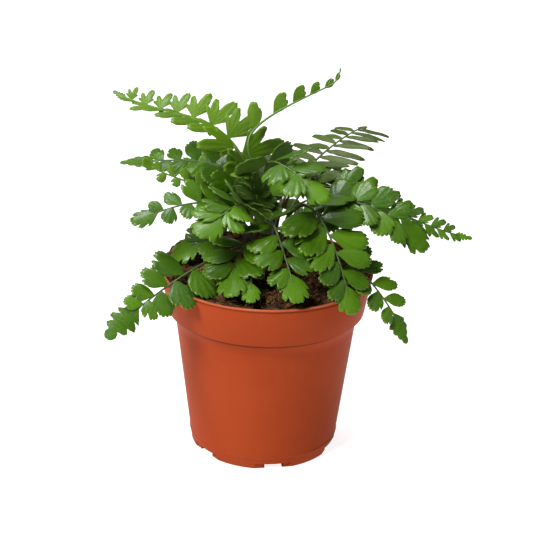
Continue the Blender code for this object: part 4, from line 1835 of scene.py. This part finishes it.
    def stalk(self, midrib: Midrib, blade: Blade) -> Any:
        """The tapered stalk and midrib as a closed tube.

        Args:
            midrib: The line.
            blade: What grows on it.

        Returns:
            The tube.
        """
        end = midrib.length - blade.end * MM * 0.7
        path, radii, shares = [], [], []
        for index in range(self.stalk_steps + 1):
            share = index / self.stalk_steps
            path.append(midrib.place(end * share))
            base = 1.0 + 0.35 * max(0.0, 1.0 - share * 9.0)
            thin = self.stalk_radius + (self.tip_radius - self.stalk_radius) * share
            radii.append(blade.stout * base * thin)
            shares += [share] * self.stalk_sides
        points: Points = []
        polygons: Polygons = []
        add_tube(points, polygons, path, radii, self.stalk_sides)
        piece = piece_from(points, polygons)
        piece.data.uv_layers.new(name="blade")
        values = piece.data.color_attributes.new(name="leaflet", type="FLOAT_COLOR", domain="POINT")
        for index, share in enumerate(shares):
            values.data[index].color = (0.5, share, 0.0, 1.0)
        return piece

    def build(self, materials: dict[Tone, list[Any]]) -> list[Any]:
        """Grow every frond.

        Args:
            materials: Upper side, under side and stalk materials of each tone.

        Returns:
            The fronds' pieces.
        """
        pieces = []
        for index, (name, (_, blade)) in enumerate(FRONDS.items()):
            chance = random.Random(self.seed * 100 + index)
            midrib = self.midribs[name]
            plans = self.planned(midrib, blade, chance)
            leaflets = [leaf for leaf in (self.settle(name, midrib, plan) for plan in plans) if leaf]
            sheet = Sheet()
            for leaf in leaflets:
                self.grow_leaflet(sheet, midrib, blade, leaf, chance)
            self.grow_end(sheet, midrib, blade, chance)
            piece = sheet.piece()
            piece.data.materials.append(materials[blade.tone][0])
            piece.data.materials.append(materials[blade.tone][1])
            sides = {"material_offset": 1, "material_offset_rim": 1}
            apply_modifier(piece, "SOLIDIFY", {"thickness": self.thickness, "offset": 0.0, **sides})
            for polygon in piece.data.polygons:
                polygon.use_smooth = True
            stalk = self.stalk(midrib, blade)
            for polygon in stalk.data.polygons:
                polygon.material_index = 2
                polygon.use_smooth = True
            for material in materials[blade.tone]:
                stalk.data.materials.append(material)
            piece.data.materials.append(materials[blade.tone][2])
            deselect_all()
            stalk.select_set(True)
            piece.select_set(True)
            bpy.context.view_layer.objects.active = piece
            bpy.ops.object.join()
            indices = [polygon.material_index for polygon in piece.data.polygons]
            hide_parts(name)
            dress(piece, name + "_leaf", materials[blade.tone])
            piece.data.polygons.foreach_set("material_index", indices)
            LOG.info("%s: %d of %d leaflets", name, len(leaflets), len(plans))
            pieces.append(piece)
        return pieces


# ---------------------------------------------------------------------------------------------
# Studio
# ---------------------------------------------------------------------------------------------


@dataclass
class Studio:
    """Pale floor, soft light and the camera."""

    aim: Vector = field(default_factory=lambda: Vector((-0.24, 0.0, 93.05)) * MM)
    distance: float = 621.9 * MM
    elevation: float = 22.07
    camera_roll: float = 1.469
    lens: float = 85.0
    floor_size: float = 14.0
    floor_drop: float = 0.02 * MM
    key_place: tuple[float, float, float] = (-0.95, -0.95, 1.55)
    top_place: tuple[float, float, float] = (-0.15, 0.45, 1.35)
    light_size: float = 0.6
    ambient: float = 0.10
    floor_glow: float = 0.88
    key: float = 45.0
    top: float = 20.0

    def build(self) -> None:
        """Set the stage."""
        self.build_floor()
        self.build_world()
        self.build_lights()
        self.build_camera()

    def build_floor(self) -> None:
        """One large pale sheet that the pot stands on."""
        deselect_all()
        bpy.ops.mesh.primitive_plane_add(size=self.floor_size, location=(0.0, 0.0, -self.floor_drop))
        bpy.ops.object.transform_apply(location=True, rotation=True, scale=True)
        floor = bpy.context.object
        floor.name = "studio_floor"
        graph = Graph("studio_floor")
        haze = graph.noise(graph.coordinates(), 6.0, 2.0)
        colour = graph.mix(haze, (0.34, 0.34, 0.34), (0.36, 0.36, 0.36))
        shader = {"Base Color": colour, "Roughness": 1.0, "Specular IOR Level": 0.0}
        shader |= {"Emission Color": (1.0, 1.0, 1.0, 1.0), "Emission Strength": self.floor_glow}
        floor.data.materials.append(graph.finish(graph.principled(shader)))

    def build_world(self) -> None:
        """Even white surroundings."""
        world = bpy.data.worlds.new("studio")
        bpy.context.scene.world = world
        world.use_nodes = True
        sky = next(node for node in world.node_tree.nodes if node.type == "BACKGROUND")
        sky.inputs["Color"].default_value = (1.0, 1.0, 1.0, 1.0)
        sky.inputs["Strength"].default_value = self.ambient

    def build_lights(self) -> None:
        """A large key from the upper left in front and a soft one from above."""
        self.area("key", self.key_place, self.key)
        self.area("top", self.top_place, self.top)

    def area(self, name: str, place: tuple[float, float, float], power: float) -> None:
        """One square area light aimed at the plant.

        Args:
            name: Its name.
            place: Where it stands.
            power: Its power in watts.
        """
        light = bpy.data.lights.new(name, "AREA")
        light.size = self.light_size
        light.energy = power
        holder = bpy.data.objects.new(name, light)
        holder.location = place
        holder.rotation_euler = (Vector(place) - self.aim).to_track_quat("Z", "Y").to_euler()
        bpy.context.scene.collection.objects.link(holder)

    def build_camera(self) -> None:
        """The camera looks a little down at the plant."""
        camera = bpy.data.cameras.new("camera")
        camera.lens = self.lens
        camera.sensor_width = 36.0
        camera.clip_end = 100.0
        holder = bpy.data.objects.new("camera", camera)
        rise = math.radians(self.elevation)
        back = Vector((0.0, -math.cos(rise), math.sin(rise))) * self.distance
        tilt = Matrix.Rotation(math.pi / 2.0 - rise, 4, "X")
        turn = Matrix.Rotation(math.radians(self.camera_roll), 4, "Z")
        holder.matrix_world = Matrix.Translation(self.aim + back) @ (tilt @ turn)
        bpy.context.scene.collection.objects.link(holder)
        bpy.context.scene.camera = holder
        bpy.context.scene.view_settings.view_transform = "Standard"


# ---------------------------------------------------------------------------------------------
# Assembly
# ---------------------------------------------------------------------------------------------


def blade_materials() -> dict[Tone, list[Any]]:
    """Upper side, under side and stalk materials for each tone.

    Returns:
        The three materials of each tone.
    """
    dull = {"roughness": 0.5, "shine": 0.0}
    soft = {"roughness": 0.42, "shine": 0.10}
    deep = {"roughness": 0.5, "shine": 0.05, "glow": 0.12}
    mature = BladeFinish("mature_upper", (0.036, 0.108, 0.001), (0.102, 0.250, 0.002), (0.19, 0.35, 0.01))
    mature_under = BladeFinish(
        "mature_under", (0.050, 0.105, 0.010), (0.090, 0.175, 0.015), (0.16, 0.26, 0.04), **dull
    )
    young = BladeFinish(
        "young_upper", (0.054, 0.138, 0.001), (0.110, 0.232, 0.002), (0.20, 0.33, 0.01), **soft
    )
    young_under = BladeFinish(
        "young_under", (0.068, 0.155, 0.010), (0.125, 0.240, 0.020), (0.20, 0.32, 0.05), **dull
    )
    olive = BladeFinish(
        "olive_upper", (0.030, 0.058, 0.004), (0.066, 0.108, 0.010), (0.11, 0.16, 0.03), **deep
    )
    olive_under = BladeFinish(
        "olive_under", (0.042, 0.074, 0.014), (0.068, 0.112, 0.024), (0.11, 0.16, 0.05), **dull
    )
    stalk = StalkFinish("mature_stalk", (0.045, 0.088, 0.010)).material()
    young_stalk = StalkFinish("young_stalk", (0.085, 0.190, 0.022)).material()
    return {
        Tone.MATURE: [mature.material(), mature_under.material(), stalk],
        Tone.YOUNG: [young.material(), young_under.material(), young_stalk],
        Tone.OLIVE: [olive.material(), olive_under.material(), stalk],
    }


def main() -> None:
    """Build the plant from the pot upwards, then the studio."""
    pot = Pot()
    crown = Crown()
    pot.build()
    PottingMix(pot, crown.place).build()
    crown.build()
    Foliage(crown).build(blade_materials())
    Studio().build()


if __name__ == "__main__":
    main()
